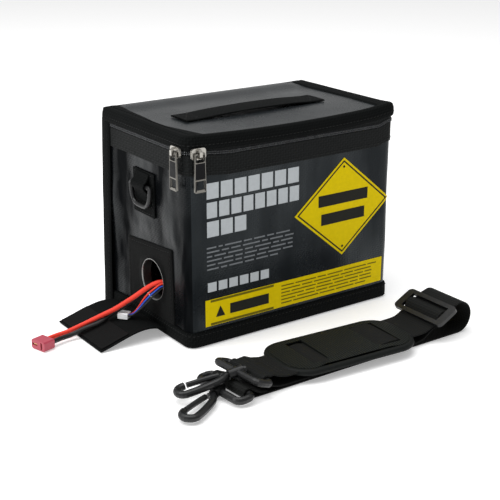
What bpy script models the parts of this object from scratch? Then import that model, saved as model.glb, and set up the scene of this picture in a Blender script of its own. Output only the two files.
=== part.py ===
"""Lipo battery safety bag: soft case with a padded wall, zipped lid and lead port, a 2S pack inside,
and its detached shoulder strap lying in front of it.

Frame: origin at the centre of the bag's underside, +X along the front panel, -Y out of the front
panel, +Z up.  Sizes below are in millimetres; the scene is in metres.
"""
import math

import bmesh
import bpy
from mathutils import Matrix, Vector

MM = 0.001
GAP = 0.3

# ---- bag body ----------------------------------------------------------------------------------
CORNER_X = 97.5            # centre of the vertical corner arcs, shared by every wall layer
CORNER_Y = 60.0
SKIN = (6.2, 7.0)          # inner and outer distance of each layer from the corner arcs' centres
PADDING = (3.3, 5.9)
LINING = (2.2, 3.0)
TAPE = (7.3, 8.0)
COIL = (7.1, 8.7)
LID_BINDING = (8.3, 9.5)
FOOT_BINDING = (7.3, 8.4)
HEIGHT = 175.0
BACK_SKIN_Y = 67.0
BASE_PANEL_TOP = 0.8
BASE_PADDING = (1.1, 3.7)
LINING_FLOOR = (4.0, 4.8)
WALL_TOP = 161.5
SKIN_TOP = 159.0
BACK_TOP = 169.5
FOOT_BINDING_TOP = 8.9
REAR_EDGE_ARM = 7.5        # how far the rear edge binding reaches round each side
REAR_EDGE_THICKNESS = 1.1

# ---- zip and lid -------------------------------------------------------------------------------
ZIP_TAPE_LOW = 146.5
ZIP_LINE = 162.85
COIL_HEIGHT = 1.2
ZIP_REAR_Y = 59.0
LID_BINDING_LOW = 165.8
LID_BINDING_HIGH = 176.0
LID_HALF_X = 104.4
LID_REAR_Y = 66.7
LID_PANEL = (174.2, HEIGHT)
LID_PADDING = (171.3, 173.9)
LID_LINING = (170.2, 171.0)
LID_PIVOT = (0.0, 67.5, 175.5)

SLIDER_FACE = 9.8          # distance of a slider's back from the corner arcs' centres
SLIDER_SIZE = (13.0, 9.0, 2.0)
SLIDER_FRONT_X = -97.0
SLIDER_SIDE_Y = -56.0
BRIDGE_GAP = 2.4
BRIDGE_WIDTH = 2.6
BRIDGE_THICKNESS = 1.1
BRIDGE_SPAN = 3.2
PULL_LENGTH = 31.0
PULL_THICKNESS = 1.4
PULL_BAR = 0.7

HANDLE_X = (-76.0, 66.0)
HANDLE_Y = -8.0
HANDLE_WIDTH = 25.0
HANDLE_RISE = 1.8
WEBBING = 1.3

# ---- side rings and port -----------------------------------------------------------------------
RING_PIVOT_Z = 123.5
RING_OFFSET = 4.4          # distance of a ring's bar from the outer skin
RING_BAR = 1.9
RING_HALF = [(0, -17.7), (4, -17.7), (8.5, -17.0), (11.6, -14.8), (13.6, -11.5), (14.8, -8), (15.4, -4),
             (15.4, -0.8), (14.6, 0), (6, 0)]
TAB_HALF_WIDTH = 17.0
TAB_Z = (97.0, 139.0)
TAB_LOOP_HALF_WIDTH = 10.0

PORT_Y = -12.0
PORT_Z = 44.0
PORT_HOLE = 17.8
EYELET_BORE = 16.8
EYELET_BARREL = 17.4
EYELET_RIM = 19.0
PATCH_Y = (-44.0, 31.0)
PATCH_Z = (9.2, 75.0)
PATCH_THICKNESS = 1.0
FLAP_Y = (-32.0, 44.0)
FLAP_PIVOT = (-106.3, 0.0, 5.0)
FLAP_THICKNESS = 1.5
FLAP_TOP = [(-106.4, 5.9), (-112, 8.8), (-120, 10.9), (-128, 11.2), (-136, 10.1), (-145, 7.9),
            (-155, 5.0), (-163, 2.7), (-168, 1.7)]
HOOK_STRIP_WIDTH = 26.0
HOOK_STRIP_THICKNESS = 0.9

# ---- battery pack ------------------------------------------------------------------------------
PACK_X = (-60.0, 79.0)
PACK_Y = (-35.5, 11.5)
PACK_Z = (5.1, 30.1)
PACK_SPLIT = 18.0
PACK_WALL = 1.2
CELL_X = (-52.0, 77.0)
LEAD_RADIUS = 2.0
WIRE_RADIUS = 0.7
RED_ROUTE = [(-61.3, -20, 22), (-68, -22, 24.5), (-80, -25, 33), (-92, -24.5, 41), (-104, -20.5, 43.8),
             (-112, -15, 39.8), (-124, -7.7, 30), (-137, -0.3, 20.6), (-143, 3.6, 17), (-150, 7.4, 13.2),
             (-163, 12, 7.6), (-176, 13.2, 4.4), (-186, 12.2, 4.2), (-196.4, 9.4, 4.2)]
BLACK_ROUTE = [(-61.3, -26.5, 18.5), (-68, -27, 20), (-80, -26.5, 28), (-92, -22, 35.5), (-104, -16, 39.3),
               (-112, -11.2, 35.3), (-124, -3.9, 25.2), (-137, 3.5, 16.0), (-143, 5.0, 12.1),
               (-150, 3.0, 10.2), (-163, 5.0, 7.4), (-175, 6.2, 4.3), (-185.5, 4.6, 4.2), (-194.3, 1.95, 4.2)]
WIRE_ROUTE = [(-61.0, -31.5, 14), (-70, -31.5, 16), (-82, -31, 26), (-94, -28.2, 37.2), (-104, -24.4, 41.4),
              (-110, -21.5, 37.5), (-116, -17, 30), (-121, -13.2, 22), (-124.2, -9.2, 16.6),
              (-126.5, -6.2, 14.6)]
WIRE_SPACING = (2.1, 2.4)
WIRE_FAN = 5               # route point from which the wires turn from a stack to a row

PLUG_CENTRE = (-201.3, 3.9, 4.2)
PLUG_YAW = math.radians(16)
PLUG_SIZE = (11.0, 15.5, 8.0)
BALANCE_PLUG_CENTRE = (-129.6, -2.2, 14.4)
BALANCE_PLUG_YAW = math.radians(-51)
BALANCE_PLUG_SIZE = (8.8, 8.4, 5.0)

# ---- shoulder strap ----------------------------------------------------------------------------
STRAP_Y = -147.0
STRAP_WIDTH = 40.0
STRAP_THICKNESS = 1.4
PAD_X = (-76.0, 48.0)
PAD_HALF_WIDTH = 31.0
PAD_Y = -146.0
PAD_YAW = math.radians(-4)
PAD_Z = (6.5, 11.8)
PAD_TUNNEL_Z = (8.3, 10.5)
PAD_CORNER = 22.0
PAD_WINDOWS = [(-53.0, -38.0), (9.0, 31.0)]
ADJUSTER_CENTRE = (76.5, STRAP_Y, 21.0)
ADJUSTER_PITCH = math.radians(28)
ADJUSTER_SIZE = (23.0, 56.0, 3.0)
ADJUSTER_SLOT = (1.75, 7.5)  # inner and outer edge of each slot from the middle bar
ADJUSTER_SLOT_HALF_WIDTH = 21.0
ADJUSTER_BAR_W = (-1.3, 0.7)
FOLD_CENTRE = (97.0, 14.0)
FOLD_RADII = (13.0, 13.3)
FRAME_BAR = 3.0
FRAME_HALF_WIDTH = 25.0
FRAME_DEPTH = 13.0
BARREL_RADIUS = 4.0
BARREL_BORE = 2.2
BARREL = (-4.7, 7.0)         # ends of the barrel from the middle of the frame's front bar
WRAP_RADIUS = 4.1
UPPER_BAR = (-102.5, STRAP_Y, 10.5)
UPPER_FRAME = (math.radians(5), math.radians(-20))     # each frame's yaw and downward tilt
UPPER_HOOK = (math.radians(-10), math.radians(9))
LOWER_BAR = (-118.5, STRAP_Y, 5.0)
LOWER_FRAME = (math.radians(4), math.radians(3))
LOWER_HOOK = (math.radians(29), 0.0)
HOOK_BAR = 3.0
GATE_BAR = 2.2
KNUCKLE_RADII = (2.5, 2.5, 2.1)

COLOURS = {
    "tarp": ((0.020, 0.022, 0.026), 0.32, 0.0),
    "webbing": ((0.014, 0.014, 0.015), 0.85, 0.0),
    "padding": ((0.55, 0.54, 0.50), 0.95, 0.0),
    "lining": ((0.10, 0.10, 0.11), 0.6, 0.0),
    "coil": ((0.018, 0.018, 0.019), 0.45, 0.0),
    "nickel": ((0.72, 0.71, 0.66), 0.22, 1.0),
    "plastic": ((0.020, 0.021, 0.023), 0.42, 0.0),
    "red": ((0.72, 0.05, 0.03), 0.45, 0.0),
    "black": ((0.015, 0.015, 0.015), 0.5, 0.0),
    "blue": ((0.03, 0.12, 0.60), 0.45, 0.0),
    "plug_red": ((0.42, 0.05, 0.07), 0.4, 0.0),
    "white": ((0.80, 0.80, 0.78), 0.4, 0.0),
    "brass": ((0.80, 0.60, 0.25), 0.25, 1.0),
    "pouch": ((0.60, 0.61, 0.63), 0.35, 1.0),
    "case": ((0.03, 0.03, 0.035), 0.4, 0.0),
    "board": ((0.03, 0.16, 0.07), 0.5, 0.0),
    "foam": ((0.025, 0.026, 0.025), 0.8, 0.0),
}


# ---- tools -------------------------------------------------------------------------------------
def clear_scene():
    for item in list(bpy.data.objects):
        bpy.data.objects.remove(item, do_unlink=True)


def material(name, finish):
    colour, roughness, metallic = COLOURS[finish]
    result = bpy.data.materials.new(name)
    result.use_nodes = True
    shader = result.node_tree.nodes["Principled BSDF"]
    shader.inputs["Base Color"].default_value = (*colour, 1)
    shader.inputs["Roughness"].default_value = roughness
    shader.inputs["Metallic"].default_value = metallic
    return result


def finish_object(name, mesh, finish, pivot=(0, 0, 0), smooth=False):
    """Link a mesh modelled in millimetres in the bag's frame, with its origin on its pivot."""
    origin = Vector(pivot) * MM
    mesh.transform(Matrix.Translation(-origin) @ Matrix.Scale(MM, 4))
    mesh.materials.append(material(name, finish))
    if smooth:
        mesh.shade_smooth()
        mesh.set_sharp_from_angle(angle=math.radians(35))
    item = bpy.data.objects.new(name, mesh)
    item.location = origin
    bpy.context.scene.collection.objects.link(item)
    return item


def mesh_from(bm):
    bmesh.ops.recalc_face_normals(bm, faces=bm.faces)
    mesh = bpy.data.meshes.new("shape")
    bm.to_mesh(mesh)
    bm.free()
    return mesh


def prism(outline, low, high, axes="xyz"):
    """Extrude a flat outline from low to high.  axes names where its first, second and depth go."""
    order = ["xyz".index(letter) for letter in axes]

    def corner(first, second, depth):
        point = [0.0, 0.0, 0.0]
        for axis, value in zip(order, (first, second, depth)):
            point[axis] = value
        return point

    bm = bmesh.new()
    lower = [bm.verts.new(corner(*point, low)) for point in outline]
    upper = [bm.verts.new(corner(*point, high)) for point in outline]
    bm.faces.new(lower)
    bm.faces.new(upper)
    for index in range(len(outline)):
        after = (index + 1) % len(outline)
        bm.faces.new((lower[index], lower[after], upper[after], upper[index]))
    return mesh_from(bm)


def box(low, high):
    outline = [(low[0], low[1]), (high[0], low[1]), (high[0], high[1]), (low[0], high[1])]
    return prism(outline, low[2], high[2])


def loops(sections, closed=False):
    """Skin a row of equal point loops; the first and last are capped unless the row is closed."""
    bm = bmesh.new()
    rows = [[bm.verts.new(point) for point in section] for section in sections]
    pairs = list(zip(rows, rows[1:] + rows[:1])) if closed else list(zip(rows, rows[1:]))
    for first, second in pairs:
        for index in range(len(first)):
            after = (index + 1) % len(first)
            bm.faces.new((first[index], first[after], second[after], second[index]))
    if not closed:
        bm.faces.new(rows[0])
        bm.faces.new(rows[-1])
    return mesh_from(bm)


def arc(centre, radius, start, end, steps):
    angles = [math.radians(start + (end - start) * step / steps) for step in range(steps + 1)]
    return [(centre[0] + radius * math.cos(a), centre[1] + radius * math.sin(a)) for a in angles]


def rounded_rectangle(half_x, half_y, radius, centre=(0, 0), steps=5):
    outline = []
    for sign_x, sign_y, start in ((1, 1, 0), (-1, 1, 90), (-1, -1, 180), (1, -1, 270)):
        middle = (centre[0] + sign_x * (half_x - radius), centre[1] + sign_y * (half_y - radius))
        outline += arc(middle, radius, start, start + 90, steps)
    return outline


def wall_path(distance, rear_y):
    """Plan line of a wall layer: down the left side, round the front and up the right side."""
    left = arc((-CORNER_X, -CORNER_Y), distance, 180, 270, 5)
    right = arc((CORNER_X, -CORNER_Y), distance, 270, 360, 5)
    return [(-CORNER_X - distance, rear_y)] + left + right + [(CORNER_X + distance, rear_y)]


def wall(layer, rear_y, low, high):
    outline = wall_path(layer[1], rear_y) + wall_path(layer[0], rear_y)[::-1]
    return prism(outline, low, high)


def footprint(distance):
    """Closed plan line of a layer that also crosses the back, where its corners are square."""
    return wall_path(distance, CORNER_Y + distance)


def ring_wall(layer, low, high):
    outer = footprint(layer[1])
    inner = footprint(layer[0])
    sections = []
    for (outer_x, outer_y), (inner_x, inner_y) in zip(outer, inner):
        sections.append([(outer_x, outer_y, low), (outer_x, outer_y, high),
                         (inner_x, inner_y, high), (inner_x, inner_y, low)])
    return loops(sections, closed=True)


def turned(profile, centre, axis="x", steps=40):
    """Turn a closed profile of (distance along the axis, radius) about an axis through centre."""
    sections = []
    for step in range(steps):
        angle = 2 * math.pi * step / steps
        c, s = math.cos(angle), math.sin(angle)
        if axis == "x":
            points = [(along, centre[1] + r * c, centre[2] + r * s) for along, r in profile]
        else:
            points = [(centre[0] + r * c, along, centre[2] + r * s) for along, r in profile]
        sections.append(points)
    return loops(sections, closed=True)


def cylinder(start, end, radius, steps=24):
    axis = (Vector(end) - Vector(start)).normalized()
    side = axis.orthogonal().normalized()
    other = axis.cross(side)
    sections = []
    for centre in (Vector(start), Vector(end)):
        ring = []
        for step in range(steps):
            angle = 2 * math.pi * step / steps
            ring.append(centre + radius * (math.cos(angle) * side + math.sin(angle) * other))
        sections.append(ring)
    return loops(sections)


def combine(item, mesh, operation):
    """Cut or join a mesh, given in the bag's frame in millimetres, with a Boolean modifier."""
    mesh.transform(Matrix.Translation(-item.location) @ Matrix.Scale(MM, 4))
    tool = bpy.data.objects.new(item.name + "_tool", mesh)
    tool.location = item.location
    tool.hide_render = True
    tool.display_type = 'WIRE'
    bpy.context.scene.collection.objects.link(tool)
    modifier = item.modifiers.new(operation.lower(), 'BOOLEAN')
    modifier.operation = operation
    modifier.solver = 'EXACT'
    modifier.object = tool


def smooth_line(route, spacing):
    """Read evenly spaced points from the smooth curve through the route's own points."""
    points = [Vector(point) for point in route]
    points = [2 * points[0] - points[1]] + points + [2 * points[-1] - points[-2]]
    dense = []
    for p0, p1, p2, p3 in zip(points, points[1:], points[2:], points[3:]):
        for step in range(20):
            t = step / 20
            dense.append(0.5 * (2 * p1 + (p2 - p0) * t + (2 * p0 - 5 * p1 + 4 * p2 - p3) * t ** 2
                                + (3 * p1 - p0 - 3 * p2 + p3) * t ** 3))
    dense.append(points[-2])
    length = sum((b - a).length for a, b in zip(dense, dense[1:]))
    count = max(2, round(length / spacing))
    result = [dense[0]]
    walked = 0.0
    for a, b in zip(dense, dense[1:]):
        step = (b - a).length
        while len(result) < count and walked + step >= length * len(result) / count:
            result.append(a.lerp(b, (length * len(result) / count - walked) / step))
        walked += step
    return result + [dense[-1]]


def cord(name, points, radius, finish):
    """A wire along points, as a curve with a round bevel and filled caps."""
    curve = bpy.data.curves.new(name, 'CURVE')
    curve.dimensions = '3D'
    curve.bevel_depth = radius * MM
    curve.bevel_resolution = 2
    curve.use_fill_caps = True
    spline = curve.splines.new('POLY')
    spline.points.add(len(points) - 1)
    for index, point in enumerate(points):
        spline.points[index].co = (*(Vector(point) * MM), 1)
    spline.use_smooth = True
    curve.materials.append(material(name, finish))
    bpy.context.scene.collection.objects.link(bpy.data.objects.new(name, curve))


def bar(points, radii, across, closed=False, sides=10):
    """Sweep a round section along points that lie in one plane; across is that plane's normal."""
    across = Vector(across).normalized()
    points = [Vector(point) for point in points]
    sections = []
    for index, point in enumerate(points):
        before = points[index - 1] if closed else points[max(index - 1, 0)]
        after = points[(index + 1) % len(points)] if closed else points[min(index + 1, len(points) - 1)]
        side = (after - before).cross(across).normalized()
        ring = []
        for step in range(sides):
            angle = 2 * math.pi * (step + 0.5) / sides
            ring.append(point + radii[index] * (math.cos(angle) * side + math.sin(angle) * across))
        sections.append(ring)
    return loops(sections, closed)


def ribbon(stations, width, thickness):
    """A flat strip: stations are (centre, side direction, normal direction)."""
    sections = []
    for centre, side, normal in stations:
        across = Vector(side).normalized() * width / 2
        up = Vector(normal).normalized() * thickness / 2
        middle = Vector(centre)
        sections.append([middle - across - up, middle + across - up,
                         middle + across + up, middle - across + up])
    return loops(sections)


# ---- bag walls ---------------------------------------------------------------------------------
def port_cutter(low_x, high_x):
    return cylinder((low_x, PORT_Y, PORT_Z), (high_x, PORT_Y, PORT_Z), PORT_HOLE, 40)


def make_skins():
    wrap = finish_object("wrap_panel", wall(SKIN, BACK_SKIN_Y - 1.1, BASE_PANEL_TOP + GAP, SKIN_TOP), "tarp")
    combine(wrap, port_cutter(-110, -95), 'DIFFERENCE')
    outer_x = CORNER_X + SKIN[1]
    inner_y = BACK_SKIN_Y - 0.8
    finish_object("back_panel", box((-outer_x, inner_y, BASE_PANEL_TOP + GAP),
                                    (outer_x, BACK_SKIN_Y, BACK_TOP)), "tarp")
    finish_object("base_panel", prism(footprint(SKIN[1]), 0, BASE_PANEL_TOP), "tarp")


def make_padding():
    low = BASE_PANEL_TOP + GAP
    near, far = PADDING
    inner_x, outer_x = CORNER_X + near, CORNER_X + far
    back_near = CORNER_Y + near
    wall_low = BASE_PADDING[1] + GAP
    finish_object("base_padding", prism(footprint(far), low, BASE_PADDING[1]), "padding")
    finish_object("front_padding", box((-CORNER_X, -CORNER_Y - far, wall_low),
                                       (CORNER_X, -CORNER_Y - near, WALL_TOP)), "padding")
    finish_object("back_padding", box((-outer_x, back_near, wall_low),
                                      (outer_x, CORNER_Y + far, BACK_TOP - 1)), "padding")
    left = finish_object("left_padding", box((-outer_x, -CORNER_Y, wall_low),
                                             (-inner_x, back_near - GAP, WALL_TOP)), "padding")
    combine(left, port_cutter(-110, -95), 'DIFFERENCE')
    finish_object("right_padding", box((inner_x, -CORNER_Y, wall_low),
                                       (outer_x, back_near - GAP, WALL_TOP)), "padding")


def make_lining():
    outer, inner = footprint(LINING[1]), footprint(LINING[0])
    low, floor = LINING_FLOOR
    high = WALL_TOP + GAP
    sections = [[(x, y, low) for x, y in outer], [(x, y, high) for x, y in outer],
                [(x, y, high) for x, y in inner], [(x, y, floor) for x, y in inner]]
    lining = finish_object("inner_lining", loops(sections), "lining")
    combine(lining, port_cutter(-110, -95), 'DIFFERENCE')


def make_bindings():
    finish_object("bottom_binding", ring_wall(FOOT_BINDING, GAP, FOOT_BINDING_TOP), "webbing")
    outer_x = CORNER_X + SKIN[1] + GAP + REAR_EDGE_THICKNESS
    outer_y = BACK_SKIN_Y + GAP + REAR_EDGE_THICKNESS
    low_y = outer_y - REAR_EDGE_ARM
    for name, side in (("rear_left_binding", -1), ("rear_right_binding", 1)):
        inner_x = outer_x - REAR_EDGE_THICKNESS
        inner_y = outer_y - REAR_EDGE_THICKNESS
        outline = [(outer_x, low_y), (outer_x, outer_y), (outer_x - REAR_EDGE_ARM, outer_y),
                   (outer_x - REAR_EDGE_ARM, inner_y), (inner_x, inner_y), (inner_x, low_y)]
        outline = [(side * x, y) for x, y in outline]
        finish_object(name, prism(outline, FOOT_BINDING_TOP + GAP, HEIGHT + 0.5), "webbing")


# ---- zip ---------------------------------------------------------------------------------------
def make_zip_halves():
    half = GAP / 2
    lower_coil = (ZIP_LINE - half - COIL_HEIGHT, ZIP_LINE - half)
    upper_coil = (ZIP_LINE + half, ZIP_LINE + half + COIL_HEIGHT)
    finish_object("lower_zip_tape", wall(TAPE, ZIP_REAR_Y, ZIP_TAPE_LOW, lower_coil[0] - GAP), "webbing")
    finish_object("lower_zip_coil", wall(COIL, ZIP_REAR_Y, *lower_coil), "coil")
    finish_object("upper_zip_tape", wall(TAPE, ZIP_REAR_Y, upper_coil[1] + GAP, HEIGHT - 0.1),
                  "webbing", LID_PIVOT)
    finish_object("upper_zip_coil", wall(COIL, ZIP_REAR_Y, *upper_coil), "coil", LID_PIVOT)


def slider_parts():
    """A slider's plate and the bridge over its middle, drawn for the front with its middle at x 0."""
    half_x, half_z = SLIDER_SIZE[0] / 2, SLIDER_SIZE[1] / 2
    back = -CORNER_Y - SLIDER_FACE
    face = back - SLIDER_SIZE[2]
    plate = prism(rounded_rectangle(half_x, half_z, 2.5, (0, ZIP_LINE), 3), face, back, "xzy")
    bridge_top = face - BRIDGE_GAP - BRIDGE_THICKNESS / 2
    shoulder = face - BRIDGE_GAP * 0.6
    line = [(face + 0.6, BRIDGE_SPAN), (shoulder, BRIDGE_SPAN), (bridge_top, BRIDGE_SPAN * 0.55),
            (bridge_top, -BRIDGE_SPAN * 0.55), (shoulder, -BRIDGE_SPAN), (face + 0.6, -BRIDGE_SPAN)]
    normals = [(-0.2, 1), (-0.5, 1), (-1, 0.45), (-1, -0.45), (-0.5, -1), (-0.2, -1)]
    stations = [((0, y, ZIP_LINE + z), (1, 0, 0), (0, *normal))
                for (y, z), normal in zip(line, normals)]
    return plate, ribbon(stations, BRIDGE_WIDTH, BRIDGE_THICKNESS)


def pull_parts():
    """A pull's plate and its two windows, drawn for the front with its middle at x 0."""
    y = -CORNER_Y - SLIDER_FACE - SLIDER_SIZE[2] - BRIDGE_GAP / 2
    low, high = y - PULL_THICKNESS / 2, y + PULL_THICKNESS / 2
    top, bottom = ZIP_LINE + PULL_BAR, ZIP_LINE - PULL_LENGTH + PULL_BAR
    outline = [(-4.6, top), (4.6, top), (5.3, bottom + 0.8), (4.5, bottom), (-4.5, bottom),
               (-5.3, bottom + 0.8)]
    plate = prism(outline, low, high, "xzy")
    eye = box((-3.2, low - 1, ZIP_LINE - 6.4), (3.2, high + 1, ZIP_LINE - PULL_BAR))
    slot = box((-3.6, low - 1, bottom + 2.2), (3.6, high + 1, bottom + 9.4))
    return plate, eye, slot, y


def make_sliders():
    front_turn = Matrix.Translation((SLIDER_FRONT_X, 0, 0))
    # The left side is the front turned a quarter turn about the corner arcs' shared distance.
    side_turn = (Matrix.Translation((-CORNER_X + CORNER_Y, SLIDER_SIDE_Y, 0))
                 @ Matrix.Rotation(-math.pi / 2, 4, 'Z'))
    for suffix, turn in (("front", front_turn), ("side", side_turn)):
        plate, bridge = slider_parts()
        face = -CORNER_Y - SLIDER_FACE
        origin = turn @ Vector((0, face, ZIP_LINE))
        for mesh in (plate, bridge):
            mesh.transform(turn)
        body = finish_object("slider_" + suffix, plate, "nickel", origin)
        combine(body, bridge, 'UNION')
        plate, eye, slot, y = pull_parts()
        origin = turn @ Vector((0, y, ZIP_LINE))
        for mesh in (plate, eye, slot):
            mesh.transform(turn)
        pull = finish_object("pull_" + suffix, plate, "nickel", origin)
        combine(pull, eye, 'DIFFERENCE')
        combine(pull, slot, 'DIFFERENCE')


# ---- lid ---------------------------------------------------------------------------------------
def make_lid():
    half_y = (LID_REAR_Y + CORNER_Y + SKIN[1] - 0.1) / 2
    middle_y = LID_REAR_Y - half_y
    outline = rounded_rectangle(LID_HALF_X, half_y, SKIN[1] - 0.1, (0, middle_y))
    layers = (("lid_panel", LID_PANEL, "tarp"), ("lid_padding", LID_PADDING, "padding"),
              ("lid_lining", LID_LINING, "lining"))
    for name, (low, high), finish in layers:
        finish_object(name, prism(outline, low, high), finish, LID_PIVOT)
    finish_object("lid_binding", wall(LID_BINDING, ZIP_REAR_Y, LID_BINDING_LOW, LID_BINDING_HIGH),
                  "webbing", LID_PIVOT)


def make_handle():
    low = HEIGHT + GAP + WEBBING / 2
    flat = 18.0
    start, end = HANDLE_X
    span = end - start - 2 * flat
    line = [(start, low), (start + flat * 0.9, low)]
    for step in range(1, 14):
        t = step / 14
        line.append((start + flat + span * t, low + HANDLE_RISE * math.sin(math.pi * t) ** 0.6))
    line += [(end - flat * 0.9, low), (end, low)]
    stations = [((x, HANDLE_Y, z), (0, 1, 0), (0, 0, 1)) for x, z in line]
    finish_object("handle_strap", ribbon(stations, HANDLE_WIDTH, WEBBING), "webbing", LID_PIVOT, True)


# ---- side rings --------------------------------------------------------------------------------
def make_side_rings():
    skin_x = CORNER_X + SKIN[1]
    for name, side in (("left", -1), ("right", 1)):
        bar_x = side * (skin_x + RING_OFFSET)
        near = side * (skin_x + GAP)
        face = side * (skin_x + GAP + 1.4)
        tab = finish_object(name + "_ring_tab",
                            box((min(near, face), -TAB_HALF_WIDTH, TAB_Z[0]),
                                (max(near, face), TAB_HALF_WIDTH, TAB_Z[1])), "webbing")
        inside = side * (skin_x + GAP + 0.7)
        outside = bar_x + side * 3.2
        outline = [(inside, 136), (bar_x, 130.5), (outside, 126), (outside, 121), (bar_x, 116.5),
                   (inside, 111)]
        loop = prism(outline, -TAB_LOOP_HALF_WIDTH, TAB_LOOP_HALF_WIDTH, "xzy")
        combine(tab, loop, 'UNION')
        combine(tab, cylinder((bar_x, -20, RING_PIVOT_Z), (bar_x, 20, RING_PIVOT_Z), RING_BAR + 0.5),
                'DIFFERENCE')
        line = RING_HALF + [(-y, z) for y, z in RING_HALF[:0:-1]]
        points = [(bar_x, y, RING_PIVOT_Z + z) for y, z in line]
        ring = bar(points, [RING_BAR] * len(points), (1, 0, 0), closed=True)
        finish_object(name + "_ring", ring, "plastic", (bar_x, 0, RING_PIVOT_Z), True)


# ---- lead port ---------------------------------------------------------------------------------
def make_port():
    skin_x = -CORNER_X - SKIN[1]
    face_x = skin_x - GAP - PATCH_THICKNESS
    patch = finish_object("port_patch", box((face_x, PATCH_Y[0], PATCH_Z[0]),
                                            (skin_x - GAP, PATCH_Y[1], PATCH_Z[1])), "webbing")
    combine(patch, port_cutter(-110, -95), 'DIFFERENCE')
    inner_x = -CORNER_X - LINING[0]
    rim_x = face_x - GAP
    centre = (0, PORT_Y, PORT_Z)
    eyelet = [(rim_x - 0.9, EYELET_BORE + 0.6), (rim_x - 0.9, EYELET_RIM - 0.6), (rim_x, EYELET_RIM),
              (rim_x, EYELET_BARREL), (inner_x + 0.9, EYELET_BARREL), (inner_x + 0.9, EYELET_BORE),
              (rim_x - 0.3, EYELET_BORE)]
    finish_object("port_eyelet", turned(eyelet, centre), "nickel", smooth=True)
    washer = [(inner_x + GAP, EYELET_BARREL + GAP), (inner_x + GAP, EYELET_RIM),
              (inner_x + 0.9, EYELET_RIM), (inner_x + 0.9, EYELET_BARREL + GAP)]
    finish_object("port_washer", turned(washer, centre), "nickel")


def strip_on_line(line, thickness, y_range):
    """A sheet whose upper face follows a line of (x, z) points, going away from the bag."""
    upper = [Vector((x, z)) for x, z in line]
    lower = []
    for index, point in enumerate(upper):
        before = upper[max(index - 1, 0)]
        after = upper[min(index + 1, len(upper) - 1)]
        run = (after - before).normalized()
        lower.append(point + thickness * Vector((-run.y, run.x)))
    outline = [tuple(point) for point in upper + lower[::-1]]
    return prism(outline, y_range[0], y_range[1], "xzy")


def make_flap():
    finish_object("port_flap", strip_on_line(FLAP_TOP, FLAP_THICKNESS, FLAP_Y), "webbing", FLAP_PIVOT, True)
    outer = [point for point in FLAP_TOP if point[0] < FLAP_TOP[-1][0] + HOOK_STRIP_WIDTH + 2]
    lift = HOOK_STRIP_THICKNESS + GAP
    slope = [Vector((b[0] - a[0], b[1] - a[1])).normalized() for a, b in zip(outer, outer[1:])]
    slope.append(slope[-1])
    raised = [(x + lift * run.y, z - lift * run.x) for (x, z), run in zip(outer, slope)]
    hooks = strip_on_line(raised, HOOK_STRIP_THICKNESS, (FLAP_Y[0] + 1, FLAP_Y[1] - 1))
    finish_object("flap_hook_strip", hooks, "webbing", FLAP_PIVOT, True)


# ---- battery pack ------------------------------------------------------------------------------
def shell(low_z, high_z, open_up):
    centre = (sum(PACK_X) / 2, sum(PACK_Y) / 2)
    half_x, half_y = (PACK_X[1] - PACK_X[0]) / 2, (PACK_Y[1] - PACK_Y[0]) / 2
    outer = rounded_rectangle(half_x, half_y, 3, centre, 3)
    inner = rounded_rectangle(half_x - PACK_WALL, half_y - PACK_WALL, 1.8, centre, 3)
    closed_z, open_z = (low_z, high_z) if open_up else (high_z, low_z)
    step = PACK_WALL if open_up else -PACK_WALL
    return loops([[(x, y, closed_z) for x, y in outer], [(x, y, open_z) for x, y in outer],
                  [(x, y, open_z) for x, y in inner], [(x, y, closed_z + step) for x, y in inner]])


def make_pack():
    pivot = (sum(PACK_X) / 2, sum(PACK_Y) / 2, PACK_Z[0])
    finish_object("pack_case_lower", shell(PACK_Z[0], PACK_SPLIT, True), "case", pivot)
    finish_object("pack_case_upper", shell(PACK_SPLIT + GAP, PACK_Z[1], False), "case", pivot)
    inner_low = PACK_Z[0] + PACK_WALL + GAP
    inner_high = PACK_Z[1] - PACK_WALL - GAP
    middle = (inner_low + inner_high) / 2
    cell_y = (PACK_Y[0] + PACK_WALL + 0.9, PACK_Y[1] - PACK_WALL - 0.9)
    for name, low, high in (("cell_lower", inner_low, middle - GAP / 2),
                            ("cell_upper", middle + GAP / 2, inner_high)):
        finish_object(name, box((CELL_X[0], cell_y[0], low), (CELL_X[1], cell_y[1], high)), "pouch", pivot)
    finish_object("cell_tab_board", box((-56.6, cell_y[0] + 3, inner_low + 1),
                                        (-55.2, cell_y[1] - 3, inner_high - 1)), "board", pivot)


def make_leads():
    cord("power_lead_red", smooth_line(RED_ROUTE, 8), LEAD_RADIUS, "red")
    cord("power_lead_black", smooth_line(BLACK_ROUTE, 8), LEAD_RADIUS, "black")
    last = len(WIRE_ROUTE) - 1
    row = Vector((-math.sin(BALANCE_PLUG_YAW), math.cos(BALANCE_PLUG_YAW), 0))
    for name, order, finish in (("balance_wire_black", -1, "black"), ("balance_wire_blue", 0, "blue"),
                                ("balance_wire_red", 1, "red")):
        route = []
        for index, point in enumerate(WIRE_ROUTE):
            before = Vector(WIRE_ROUTE[max(index - 1, 0)])
            after = Vector(WIRE_ROUTE[min(index + 1, last)])
            run = (after - before).normalized()
            turned_share = max(0.0, (index - WIRE_FAN) / (last - WIRE_FAN))
            side = Vector((0, 0, 1)).lerp(row, turned_share)
            side = (side - side.dot(run) * run).normalized()
            spacing = WIRE_SPACING[0] + (WIRE_SPACING[1] - WIRE_SPACING[0]) * turned_share
            route.append(Vector(point) + order * spacing * side)
        cord(name, smooth_line(route, 4), WIRE_RADIUS, finish)


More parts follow.
